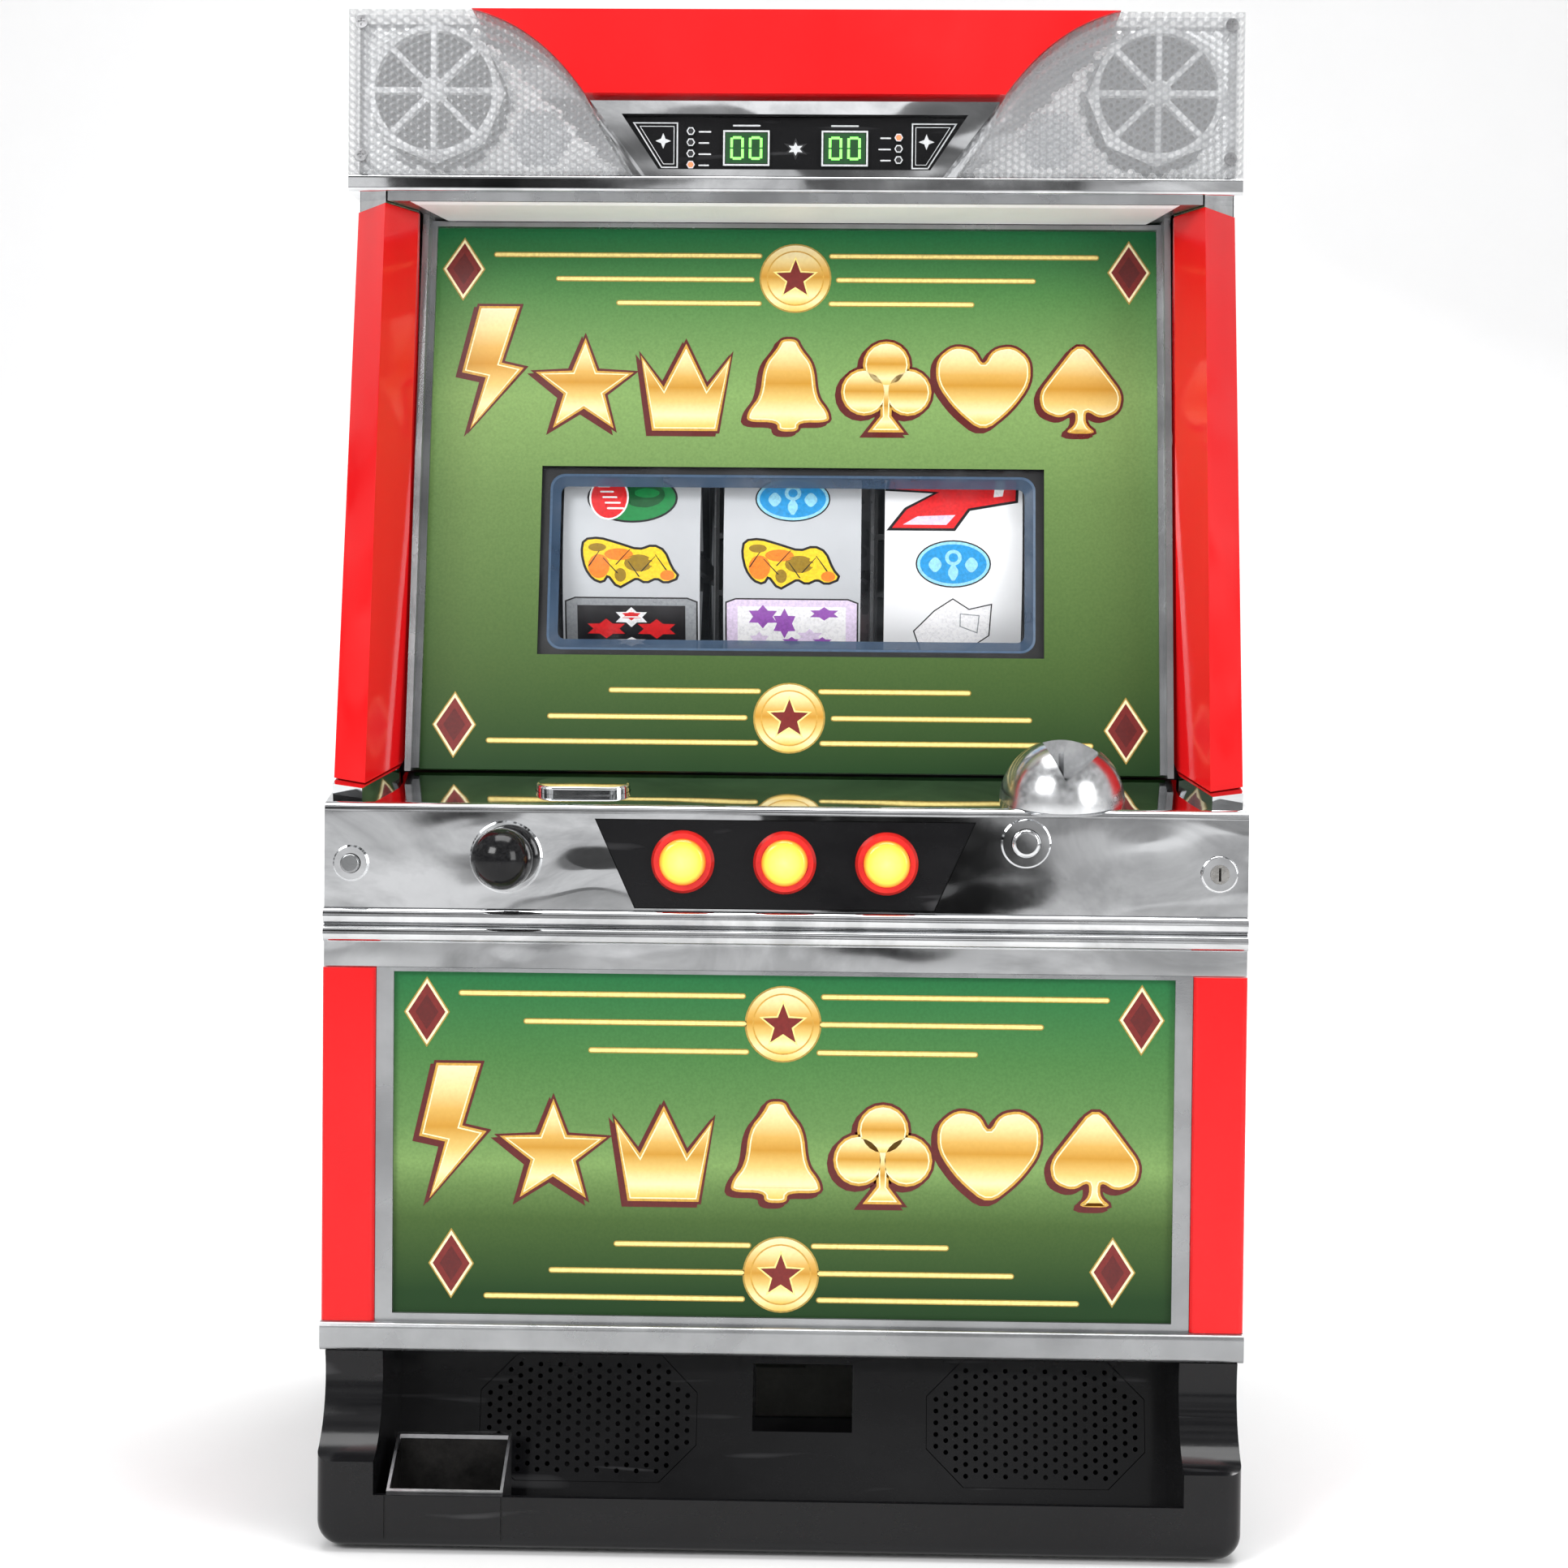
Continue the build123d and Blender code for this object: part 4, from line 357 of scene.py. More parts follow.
def glow_ink(name, tone, strength, grain_scale=900.0):
    p = Paint(name)
    grain = p.span(p.cells(grain_scale), 0.1, 0.6, 0.0, 0.25)
    deep = shaded(tone, 0.45)
    colour = p.mix(grain, rgb(*tone), deep)
    p.set(Base_Color=colour, Roughness=0.3, Emission_Color=colour, Emission_Strength=strength)
    p.set(Normal=p.bump(grain, 0.1, 0.0002))
    return p.material


def round_material(name, node, stops, radius, strength, glow=0.5):
    """A lit round piece: rings of colour about the node's own axis, and a lens bump."""
    low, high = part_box(node)
    centre = (low + high) / 2
    p = Paint(name)
    flat = p.place
    for kind, by in (("SUBTRACT", (centre.x, 0.0, centre.z)), ("MULTIPLY", (1.0, 0.0, 1.0))):
        flat = p.node("ShaderNodeVectorMath", {0: flat, 1: by}, operation=kind).outputs[0]
    away = p.node("ShaderNodeVectorMath", {0: flat}, operation="LENGTH").outputs["Value"]
    colour = p.ramp(p.span(away, 0.0, radius), [(at, rgb(*tone)) for at, tone in stops])
    frost = p.noise(300.0, 3.0)
    colour = p.mix(p.span(frost, 0.4, 0.8, 0.0, 0.2), colour, (0.55, 0.28, 0.03, 1))
    p.set(
        Base_Color=colour, Roughness=p.span(frost, 0.3, 0.7, 0.12, 0.26),
        Emission_Color=colour, Emission_Strength=glow, Normal=p.bump(frost, strength, 0.0004),
    )
    return p.material


def strip_material(name, tone):
    """White reel strip lit from behind: its tone varies in soft clouds, and a fine grain creases it a
    little.
    """
    p = Paint(name)
    grain = p.noise(300.0, 3.0)
    cloud = p.noise(10.0, 3.0)
    deep = shaded(tone, 0.86)
    colour = p.mix(p.span(cloud, 0.3, 0.7), rgb(*tone), deep)
    p.set(
        Base_Color=colour, Roughness=p.span(grain, 0.3, 0.7, 0.38, 0.5), Emission_Color=colour,
        Emission_Strength=0.16, Normal=p.bump(grain, 0.05, 0.0002),
    )
    return p.material


finishes = {
    "board": laminate_material(),
    "zinc_steel": zinc_material(),
    "motor_steel": surface(
        "motor_steel", (0.30, 0.30, 0.31, 1), (0.55, 0.55, 0.56, 1), 40, (0.28, 0.45), 1.0, 0.1,
        stretch=(1, 0.1, 1),
    ),
    "board_case": surface(
        "board_case", (0.02, 0.022, 0.024, 1), (0.05, 0.052, 0.055, 1), 30, (0.2, 0.35), coat=0.3,
        scratches=0.08,
    ),
    "power_steel": surface(
        "power_steel", (0.26, 0.27, 0.28, 1), (0.42, 0.43, 0.44, 1), 20, (0.3, 0.5), 0.8,
        scratches=0.12, stretch=(1, 1, 0.1),
    ),
    "hopper_plastic": surface(
        "hopper_plastic", (0.42, 0.41, 0.38, 1), (0.60, 0.59, 0.55, 1), 30, (0.35, 0.5),
        scratches=0.08,
    ),
    "tank_plastic": surface(
        "tank_plastic", (0.030, 0.032, 0.036, 1), (0.070, 0.073, 0.078, 1), 24, (0.3, 0.48),
        scratches=0.12,
    ),
    "reel_plastic": surface(
        "reel_plastic", (0.045, 0.047, 0.05, 1), (0.09, 0.092, 0.095, 1), 30, (0.35, 0.5),
    ),
    # Painted shade: the left and centre reels take a greyer copy of the same white strip film.
    "strip_print": strip_material("strip_shaded_grey", (196, 200, 204)),
    "frame_plastic": surface(
        "frame_plastic", (0.003, 0.003, 0.0035, 1), (0.010, 0.010, 0.011, 1), 22, (0.16, 0.34),
        bump=0.12, grain=900.0, scratches=0.05, shine=0.4,
    ),
    "chrome": chrome_material(),
    "silver": silver_material(),
    "clear": clear_material(),
    "red_lens": red_lens_material(),
    "black_gloss": black_gloss_material(),
    "digits": ink("module_dark", (16, 30, 18), 0.02),
    "button_red": surface(
        "button_red", (0.55, 0.012, 0.012, 1), (0.80, 0.03, 0.02, 1), 40, (0.12, 0.25), coat=0.3
    ),
    "speaker_black": surface(
        "speaker_black", (0.010, 0.010, 0.011, 1), (0.035, 0.035, 0.037, 1), 60, (0.5, 0.8),
        bump=0.5, grain=1200.0,
    ),
    "screw_steel": surface(
        "screw_steel", (0.30, 0.30, 0.31, 1), (0.62, 0.62, 0.63, 1), 90, (0.2, 0.4), 1.0,
    ),
    "rocker": surface("rocker", (0.012, 0.012, 0.012, 1), (0.03, 0.03, 0.03, 1), 60, (0.3, 0.45)),
    "brass": surface(
        "nickel_core", (0.34, 0.33, 0.31, 1), (0.60, 0.59, 0.57, 1), 80, (0.2, 0.36), 1.0,
        stretch=(1, 0.2, 1),
    ),
}
# Seven greens of the print from the foot up, and their heights on each panel.
GREENS = [
    (45, 80, 40), (95, 125, 65), (130, 165, 95), (160, 200, 120), (125, 170, 100), (90, 145, 80),
    (35, 120, 70),
]
UPPER_HEIGHTS = (0.0, 0.18, 0.5, 0.68, 0.79, 0.87, 0.98)
LOWER_HEIGHTS = (0.08, 0.29, 0.38, 0.45, 0.56, 0.75, 1.0)
upper_print = printed_material("print_upper", "reel_panel", zip(UPPER_HEIGHTS, GREENS))
lower_print = printed_material("print_lower", "lower_panel", zip(LOWER_HEIGHTS, GREENS))
# Painted light: the right reel's strip takes a brighter copy of the same strip film.
special = {"lower_panel": lower_print, "reel_right_strip": strip_material("strip_lit_white", (246, 248, 250))}
BUTTON_TONES = [
    (0.0, (244, 236, 120)), (0.55, (242, 228, 92)), (0.78, (246, 190, 60)), (0.95, (240, 120, 40)),
    (1.0, (225, 70, 40)),
]
for side in ("left", "center", "right"):
    button = f"stop_button_{side}"
    special[button] = round_material(f"button_lit_{side}", button, BUTTON_TONES, 0.0125, 0.08, 0.55)
special["window_bezel"] = surface(
    "bezel_blue", (0.012, 0.020, 0.032, 1), (0.035, 0.055, 0.085, 1), 14, (0.15, 0.3), coat=0.4
)
# Painted light: the clear fan glows faintly (strength 0.25) to brighten it behind the speaker covers.
special["speaker_diffusers"] = surface(
    "fan_clear", (0.20, 0.205, 0.21, 1), (0.86, 0.87, 0.88, 1), 90, (0.06, 0.2), 0.4, 0.5, 0.0008, 500.0,
    glow=0.25,
)
special["medal_slot"] = surface(
    "satin_chrome", (0.46, 0.47, 0.48, 1), (0.84, 0.85, 0.86, 1), 26, (0.16, 0.30), 1.0, 0.04, 0.0002
)
special["door_frame"] = surface(
    "door_black", (0.010, 0.010, 0.011, 1), (0.026, 0.026, 0.028, 1), 22, (0.38, 0.6), bump=0.35,
    grain=900.0, scratches=0.04, shine=0.25,
)
special["ashtray"] = surface(
    "ashtray_steel", (0.20, 0.20, 0.21, 1), (0.42, 0.42, 0.43, 1), 30, (0.22, 0.4), 1.0,
    scratches=0.15,
)
slots_of = {}
for name, piece in nodes.items():
    slots_of[name] = piece.data.materials[0].name if piece.data.materials else ""
    finish = special.get(name) or finishes.get(slots_of[name])
    if finish is not None:
        for index in range(len(piece.data.materials)):
            piece.data.materials[index] = finish


# ---------------- mesh helpers
class Panel:
    """A flat face that prints lie on: x across, s up it, lift out of it, all in millimetres."""

    def __init__(self, origin, up, out):
        self.origin, self.up, self.out = origin, up.normalized(), out.normalized()

    def at(self, x, s, lift):
        return self.origin + Vector((x * MM, 0, 0)) + self.up * (s * MM) + self.out * (lift * MM)


def grow(points, amount):
    """The outline moved outwards by amount, corner by corner; it runs anticlockwise."""
    grown = []
    count = len(points)
    for i, (x, y) in enumerate(points):
        ax, ay = points[i - 1]
        bx, by = points[(i + 1) % count]
        first = Vector((y - ay, ax - x)).normalized()
        second = Vector((by - y, x - bx)).normalized()
        middle = first + second
        if middle.length < 0.2:
            middle = first
        middle.normalize()
        reach = amount / max(0.45, middle.dot(first))
        grown.append((x + middle.x * reach, y + middle.y * reach))
    return grown


def moved(points, dx, dy, sx=1.0, sy=1.0):
    return [(x * sx + dx, y * sy + dy) for x, y in points]


def ring(radius, count=40, start=0.0):
    turns = [start + 2 * math.pi * i / count for i in range(count)]
    return [(radius * math.cos(a), radius * math.sin(a)) for a in turns]


def bar(x0, x1, s, half):
    """A thin line with round ends."""
    right = [(x1 + half * math.cos(a), s + half * math.sin(a)) for a in half_turn(-90)]
    left = [(x0 + half * math.cos(a), s + half * math.sin(a)) for a in half_turn(90)]
    return right + left


def half_turn(start, steps=6):
    return [math.radians(start + 180 * i / steps) for i in range(steps + 1)]


def smooth(points, rounds=2):
    """Cuts the corners of an outline, to round it."""
    for _ in range(rounds):
        cut = []
        for i, (x, y) in enumerate(points):
            nx, ny = points[(i + 1) % len(points)]
            for near in (0.78, 0.22):
                cut.append((near * x + (1 - near) * nx, near * y + (1 - near) * ny))
        points = cut
    return points


def mirrored(half):
    """A closed outline from its right half, given from the bottom up."""
    return half + [(-x, y) for x, y in reversed(half) if abs(x) > 1e-6]


def walls(mesh, first, second, index=0):
    """Quads between two closed loops of the same number of vertices."""
    for i in range(len(first)):
        j = (i + 1) % len(first)
        mesh.faces.new((first[i], first[j], second[j], second[i])).material_index = index


def link_mesh(name, mesh, materials):
    data = bpy.data.meshes.new(name)
    mesh.to_mesh(data)
    mesh.free()
    for material in materials:
        data.materials.append(material)
    made = bpy.data.objects.new(name, data)
    bpy.context.collection.objects.link(made)
    return made


def finish_mesh(name, mesh, materials, body):
    made = link_mesh(name, mesh, materials)
    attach(made, body)
    return made


def prints(name, panel, layers, materials, body, base=0.0):
    """Thin tiles on a panel. Each layer is (outline, lift in mm, material)."""
    mesh = bmesh.new()
    uv = mesh.loops.layers.uv.new("print")
    for outline, lift, material in layers:
        low = min(y for _, y in outline)
        high = max(y for _, y in outline)
        top = [mesh.verts.new(panel.at(x, s, lift)) for x, s in outline]
        foot = [mesh.verts.new(panel.at(x, s, base)) for x, s in outline]
        faces = [(mesh.faces.new(top), outline)]
        for i in range(len(outline)):
            j = (i + 1) % len(outline)
            side = mesh.faces.new((foot[i], foot[j], top[j], top[i]))
            faces.append((side, [outline[i], outline[j], outline[j], outline[i]]))
        for face, places in faces:
            face.material_index = materials.index(material)
            for loop, (_, y) in zip(face.loops, places):
                loop[uv].uv = (0.5, (y - low) / (high - low))
    return finish_mesh(name, mesh, materials, body)


def bent_prints(name, centre, radius, layers, materials, body):
    """Thin prints wrapped round a reel: x across it and arc length round it, in metres."""
    mesh = bmesh.new()
    for outline, lift, material in layers:
        flat = bmesh.new()
        flat.faces.new([flat.verts.new((x * MM, v * MM, 0)) for x, v in outline])
        low = min(v for _, v in outline) * MM
        high = max(v for _, v in outline) * MM
        cut = low + 0.003
        while cut < high:
            bmesh.ops.bisect_plane(
                flat, geom=flat.verts[:] + flat.edges[:] + flat.faces[:],
                plane_co=(0, cut, 0), plane_no=(0, 1, 0),
            )
            cut += 0.003
        reach = radius + lift * MM
        fresh = {}
        for vertex in flat.verts:
            angle = vertex.co.y / radius
            fresh[vertex] = mesh.verts.new((
                centre.x + vertex.co.x,
                centre.y - reach * math.cos(angle),
                centre.z + reach * math.sin(angle),
            ))
        for face in flat.faces:
            made = mesh.faces.new([fresh[v] for v in face.verts])
            made.material_index = materials.index(material)
        flat.free()
    return finish_mesh(name, mesh, materials, body)


# ---------------- printed panels
def star(radius, inner=0.42, points=5):
    outline = []
    for i in range(2 * points):
        reach = radius if i % 2 == 0 else radius * inner
        turn = math.radians(90 + 180 * i / points)
        outline.append((reach * math.cos(turn), reach * math.sin(turn)))
    return outline


# Ornaments of the big row, each in a box one unit wide and one high, with its foot at zero.
BOLT = [(-0.30, 0.0), (0.44, 0.50), (0.12, 0.54), (0.36, 1.0), (-0.22, 1.0), (-0.44, 0.46), (-0.10, 0.42)]
CROWN = mirrored([(0.36, 0.0), (0.50, 0.86), (0.24, 0.50), (0.0, 1.0)])
BELL = smooth(mirrored([
    (0.12, 0.0), (0.13, 0.10), (0.50, 0.10), (0.48, 0.22), (0.34, 0.38), (0.30, 0.72),
    (0.14, 0.90), (0.09, 1.0),
]), 2)
HEART = smooth(mirrored([
    (0.0, 0.0), (0.30, 0.26), (0.50, 0.56), (0.50, 0.84), (0.32, 1.0), (0.10, 0.96), (0.0, 0.76),
]), 2)
SPADE = smooth(mirrored([
    (0.20, 0.0), (0.06, 0.10), (0.06, 0.26), (0.24, 0.16), (0.46, 0.24), (0.50, 0.44),
    (0.32, 0.66), (0.0, 1.04),
]), 2)
DIAMOND = [(0.0, 0.0), (0.5, 0.5), (0.0, 1.0), (-0.5, 0.5)]


def clover_leaves():
    leaves = [moved(ring(0.26, 20), dx, dy) for dx, dy in ((-0.24, 0.44), (0.24, 0.44), (0.0, 0.74))]
    stem = [(-0.20, 0.0), (0.20, 0.0), (0.06, 0.18), (0.07, 0.56), (-0.07, 0.56), (-0.06, 0.18)]
    return leaves + [stem]


STAR_UNIT = moved(star(0.53), 0.0, 0.45)
# Centre, width and height in millimetres of each ornament, left to right.
ROW = [
    (-167.0, 39.0, 71.0, [BOLT]), (-116.0, 54.0, 54.0, [STAR_UNIT]), (-60.0, 50.0, 50.0, [CROWN]),
    (-3.0, 46.0, 53.0, [BELL]), (51.0, 50.0, 52.0, clover_leaves()), (104.5, 52.0, 50.0, [HEART]),
    (158.0, 46.0, 52.0, [SPADE]),
]
gold = gold_material()
maroon = ink("maroon_print", (118, 28, 24))
dark_maroon = ink("maroon_shadow", (92, 20, 18))
cream = ink("cream_line", (250, 240, 190), 0.15)
old_gold = ink("gold_edge", (206, 158, 62))
line_gold = ink("gold_line", (246, 226, 140), 0.15)
line_edge = ink("gold_line_edge", (170, 140, 60))
ART_INKS = [gold, maroon, dark_maroon, cream, old_gold, line_gold, line_edge]


def ornament(x, s, width, height, shapes):
    layers = []
    for shape in shapes:
        outline = moved(shape, x, s, width, height)
        layers += [
            (moved(grow(outline, 1.3), -2.0, -1.8), 0.12, dark_maroon),
            (grow(outline, 1.4), 0.16, dark_maroon),
            (outline, 0.22, old_gold),
            (grow(outline, -1.3), 0.27, cream),
            (grow(outline, -2.0), 0.32, gold),
        ]
    return layers


def coin(x, s, radius):
    layers = [
        (moved(ring(radius), x, s), 0.12, line_edge),
        (moved(ring(radius - 0.9), x, s), 0.17, gold),
        (moved(ring(radius - 4.0), x, s), 0.22, old_gold),
        (moved(ring(radius - 4.8), x, s), 0.27, gold),
    ]
    mark = moved(star(radius * 0.56), x, s - 0.4)
    return layers + [(grow(mark, 0.9), 0.31, line_gold), (mark, 0.35, maroon)]


def corner_mark(x, s, width, height):
    outline = moved(DIAMOND, x, s - height / 2, width, height)
    return [
        (outline, 0.14, line_edge), (grow(outline, -0.7), 0.19, cream),
        (grow(outline, -1.9), 0.24, maroon), (grow(outline, -5.0), 0.28, dark_maroon),
    ]


def gold_lines(rows):
    layers = []
    for s, inner, outer in rows:
        for sign in (-1, 1):
            x0, x1 = sorted((sign * inner, sign * outer))
            layers += [(bar(x0, x1, s, 1.5), 0.12, line_edge), (bar(x0, x1, s, 0.9), 0.17, line_gold)]
    return layers


def artwork(row_s, scale, lines, coins, corners):
    layers = gold_lines(lines)
    for x, s, radius in coins:
        layers += coin(x, s, radius)
    for x, s in corners:
        layers += corner_mark(x, s, 24, 37)
    for x, width, height, shapes in ROW:
        layers += ornament(x * scale, row_s, width * scale, height, shapes)
    return layers


def corners_of(node):
    return [v.co.copy() for v in nodes[node].data.vertices]


foot = min(corners_of("reel_panel"), key=lambda v: v.y)
head = max(corners_of("reel_panel"), key=lambda v: v.z)
up = Vector((0, head.y - foot.y, head.z - foot.z)).normalized()
upper = Panel(Vector((0, foot.y, foot.z)) - up * MM, up, Vector((0, -up.z, up.y)))
panel_length = (head - foot).yz.length / MM + 1
low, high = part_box("lower_panel")
lower = Panel(Vector((0, low.y, 0)), Vector((0, 0, 1)), Vector((0, -1, 0)))

WINDOW_X, WINDOW_LOW, WINDOW_HIGH = 138.0, 65.0, 171.0
WINDOW_MID = (WINDOW_LOW + WINDOW_HIGH) / 2
MASK_X, MASK_EDGE = 133.5, 3.5
upper_art = artwork(
    191.5, 1.0,
    [(292.6, 20, 167), (278.8, 24, 132), (265, 20, 98), (45.5, 17, 97), (30.8, 24, 130), (17, 18, 163)],
    [(0, 279.7, 20), (0, 30.8, 19.5)],
    [(-185, 284), (185, 284), (-182, 25.5), (182, 25.5)],
)
lower_art = artwork(
    177.0, 1.03,
    [
        (284.8, 21, 168), (270.4, 20, 134), (255.7, 19, 100),
        (154.5, 17, 86), (140.2, 20, 120), (126.3, 20, 154),
    ],
    [(0, 270.4, 20), (0, 139.4, 20)],
    [(-186, 274.7), (186, 274.7), (-172.5, 143), (172.5, 143)],
)
prints("upper_artwork", upper, upper_art, ART_INKS, "door")
prints("lower_artwork", lower, lower_art, ART_INKS, "door")


def window_corners(inset=0.0):
    x, low_s, high_s = WINDOW_X - inset, WINDOW_LOW + inset, WINDOW_HIGH - inset
    return [(-x, low_s), (x, low_s), (x, high_s), (-x, high_s)]


def panel_with_window():
    """The printed sheet of the reel panel, four millimetres thick, with a window cut through it."""
    mesh = bmesh.new()
    half = (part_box("reel_panel")[1].x) / MM
    outer = [(-half, 1), (half, 1), (half, panel_length), (-half, panel_length)]
    inner = window_corners()
    loops = {}
    for label, outline, lift in (
        ("of", outer, 0), ("if", inner, 0), ("ob", outer, -4), ("ib", inner, -4),
    ):
        loops[label] = [mesh.verts.new(upper.at(x, s, lift)) for x, s in outline]
    walls(mesh, loops["of"], loops["if"])
    walls(mesh, loops["ib"], loops["ob"], 1)
    walls(mesh, loops["ob"], loops["of"])
    walls(mesh, loops["if"], loops["ib"], 1)
    materials = [upper_print, finishes["black_gloss"]]
    made = finish_mesh("reel_panel_print", mesh, materials, "door")
    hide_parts("reel_panel")


def window_pane():
    mesh = bmesh.new()
    for lift, order in ((-0.4, 1), (-2.4, -1)):
        corners = window_corners(0.1)[::order]
        mesh.faces.new([mesh.verts.new(upper.at(x, s, lift)) for x, s in corners])
    finish_mesh("reel_window_pane", mesh, [glass_material()], "door")


def rounded_box(half_x, low_s, high_s, radius, steps=6):
    """A rectangle with round corners, anticlockwise from its lower right."""
    points = []
    for cx, cy, start in (
        (half_x - radius, low_s + radius, -90), (half_x - radius, high_s - radius, 0),
        (-half_x + radius, high_s - radius, 90), (-half_x + radius, low_s + radius, 180),
    ):
        for i in range(steps + 1):
            a = math.radians(start + 90 * i / steps)
            points.append((cx + radius * math.cos(a), cy + radius * math.sin(a)))
    return points


mask_black = surface(
    "mask_black", (0.002, 0.002, 0.002, 1), (0.006, 0.006, 0.007, 1), 40, (0.5, 0.7)
)


def window_mask():
    """A black mask behind the pane, square outside and round inside."""
    mesh = bmesh.new()
    inner = rounded_box(MASK_X, WINDOW_LOW + MASK_EDGE, WINDOW_HIGH - MASK_EDGE, 8)
    half_height = WINDOW_HIGH - MASK_EDGE - WINDOW_MID
    outer = []
    for x, s in inner:
        reach = max(abs(x) / MASK_X, abs(s - WINDOW_MID) / half_height) / 1.2
        across = max(-WINDOW_X, min(WINDOW_X, x / reach))
        outer.append((across, max(WINDOW_LOW, min(WINDOW_HIGH, WINDOW_MID + (s - WINDOW_MID) / reach))))
    rim, edge = ([mesh.verts.new(upper.at(x, s, -3.2)) for x, s in outline] for outline in (outer, inner))
    back = [mesh.verts.new(upper.at(x, s, -3.9)) for x, s in inner]
    walls(mesh, rim, edge)
    walls(mesh, edge, back)
    finish_mesh("reel_window_mask", mesh, [mask_black], "door")


def window_shade():
    """Painted shade: a dark blue, nearly opaque band inside the window, with a lighter rim as a painted
    highlight where the glass is rounded.
    """
    rim = ink("painted_highlight_rim", (70, 96, 124), 0.05)
    painted_band = Paint("painted_shade_band")
    cloud = painted_band.noise(30.0, 4.0)
    painted_band.set(
        Base_Color=painted_band.mix(cloud, rgb(40, 58, 80), rgb(66, 88, 112)),
        Roughness=painted_band.span(cloud, 0.3, 0.7, 0.1, 0.25), Alpha=painted_band.span(cloud, 0.3, 0.7, 0.84, 0.94),
    )
    mesh = bmesh.new()
    outlines = [
        rounded_box(133.6, WINDOW_LOW + 3.4, WINDOW_HIGH - 3.4, 8.0),
        rounded_box(132.2, WINDOW_LOW + 4.8, WINDOW_HIGH - 4.8, 7.0),
        rounded_box(127.5, WINDOW_LOW + 9.6, WINDOW_HIGH - 10.4, 4.0),
    ]
    loops = [
        [mesh.verts.new(upper.at(x, s, lift)) for x, s in outline]
        for outline, lift in zip(outlines, (-3.3, -3.6, -4.6))
    ]
    for index, (outer, inner) in enumerate(zip(loops, loops[1:])):
        walls(mesh, outer, inner, index)
    finish_mesh("reel_window_shade", mesh, [rim, painted_band.material], "door")


def hood_lamp():
    """The pale diffuser under the hood, which lights the panel from above."""
    low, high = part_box("upper_bezel")
    pale = Paint("hood_diffuser")
    cloud = pale.noise(14.0, 4.0)
    ribs = pale.span(pale.noise(220.0, 2.0, 0.5, (1.0, 0.05, 1.0)), 0.3, 0.7)
    colour = pale.mix(cloud, (0.60, 0.61, 0.62, 1), (0.86, 0.87, 0.88, 1))
    pale.set(
        Base_Color=colour, Roughness=0.35, Emission_Color=colour, Emission_Strength=0.22,
        Normal=pale.bump(ribs, 0.2, 0.0004),
    )
    mesh = bmesh.new()
    z, drop = 0.7058, 0.0012
    front, back = low.y + 0.0125, high.y - 0.012
    plan = [(-0.207, front), (0.207, front), (0.197, back), (-0.197, back)]
    top = [mesh.verts.new((x, y, z)) for x, y in plan]
    foot = []
    for x, y in plan:
        foot.append(mesh.verts.new((x * 0.985, y * 0.97 if y > -0.1 else y + 0.003, z - drop)))
    mesh.faces.new(foot)
    walls(mesh, top, foot)
    bmesh.ops.recalc_face_normals(mesh, faces=mesh.faces)
    finish_mesh("hood_diffuser", mesh, [pale.material], "door")


def ash_liner():
    """A near-black lining inside the ashtray."""
    low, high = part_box("ashtray")
    wall, floor_rise = 0.0019, 0.0032
    lining_black = surface(
        "ashtray_lining_black", (0.003, 0.003, 0.003, 1), (0.02, 0.019, 0.018, 1), 60, (0.5, 0.8), bump=0.5,
        shine=0.08,
    )
    mesh = bmesh.new()
    plan = [
        (low.x + wall, low.y + wall, high.z - 0.0235), (high.x - wall, low.y + wall, high.z - 0.0235),
        (high.x - wall, high.y - wall, high.z - 0.003), (low.x + wall, high.y - wall, high.z - 0.003),
    ]
    floor = [mesh.verts.new((x, y, low.z + floor_rise)) for x, y, _ in plan]
    rim = [mesh.verts.new(corner) for corner in plan]
    mesh.faces.new(floor)
    walls(mesh, floor, rim)
    finish_mesh("ashtray_liner", mesh, [lining_black], "ashtray")


panel_with_window()
window_pane()
window_mask()
window_shade()
hood_lamp()
ash_liner()

# ---------------- reel symbols
red = ink("symbol_red", (222, 32, 36), 0.3)
green = ink("symbol_green", (22, 132, 66), 0.3)
dark_green = ink("symbol_deep_green", (10, 84, 40), 0.3)
yellow = ink("symbol_yellow", (246, 206, 40), 0.3)
orange = ink("symbol_orange", (240, 130, 36), 0.3)
olive = ink("symbol_olive", (150, 120, 30), 0.3)
black = ink("symbol_black", (24, 20, 24), 0.05)
white = ink("symbol_white", (244, 244, 246), 0.3)
blue = ink("symbol_blue", (40, 150, 214), 0.3)
sky = ink("symbol_sky", (150, 214, 238), 0.3)
purple = ink("symbol_purple", (150, 84, 178), 0.3)
lilac = ink("symbol_lilac", (226, 210, 236), 0.3)
steel = ink("symbol_grey", (150, 154, 158), 0.2)
SYMBOL_INKS = [red, green, dark_green, yellow, orange, olive, black, white, blue, sky, purple, lilac, steel]
RIBBON = smooth([
    (-27, 5), (-25, -4), (-21, -10), (-16, -12), (-13, -7), (-7, -15), (-2, -12), (3, -9), (8, -12),
    (14, -9), (19, -12), (26, -9), (22, -4), (18, 6), (12, 9), (4, 6), (-8, 10), (-18, 13), (-26, 12),
], 1)
SEVEN = [
    (-34, -17), (0, -17), (8, -5), (34, 0), (35, 21), (-33, 21), (-36, 7), (-8, 5), (-26, -6),
]
GEM = [(0, 17), (-10, 10), (-21, -2), (-17, -14), (4, -16), (20, -4), (21, 14), (9, 11)]
GEM_FACETS = [[(0, 12), (-13, 1), (-9, -9), (1, 2)], [(4, 9), (15, 8), (14, -3), (4, 1)]]


def framed(outline, edge=0.8, edge_ink=black, fill=white):
    return [(grow(outline, edge), 0.06, edge_ink), (outline, 0.10, fill)]


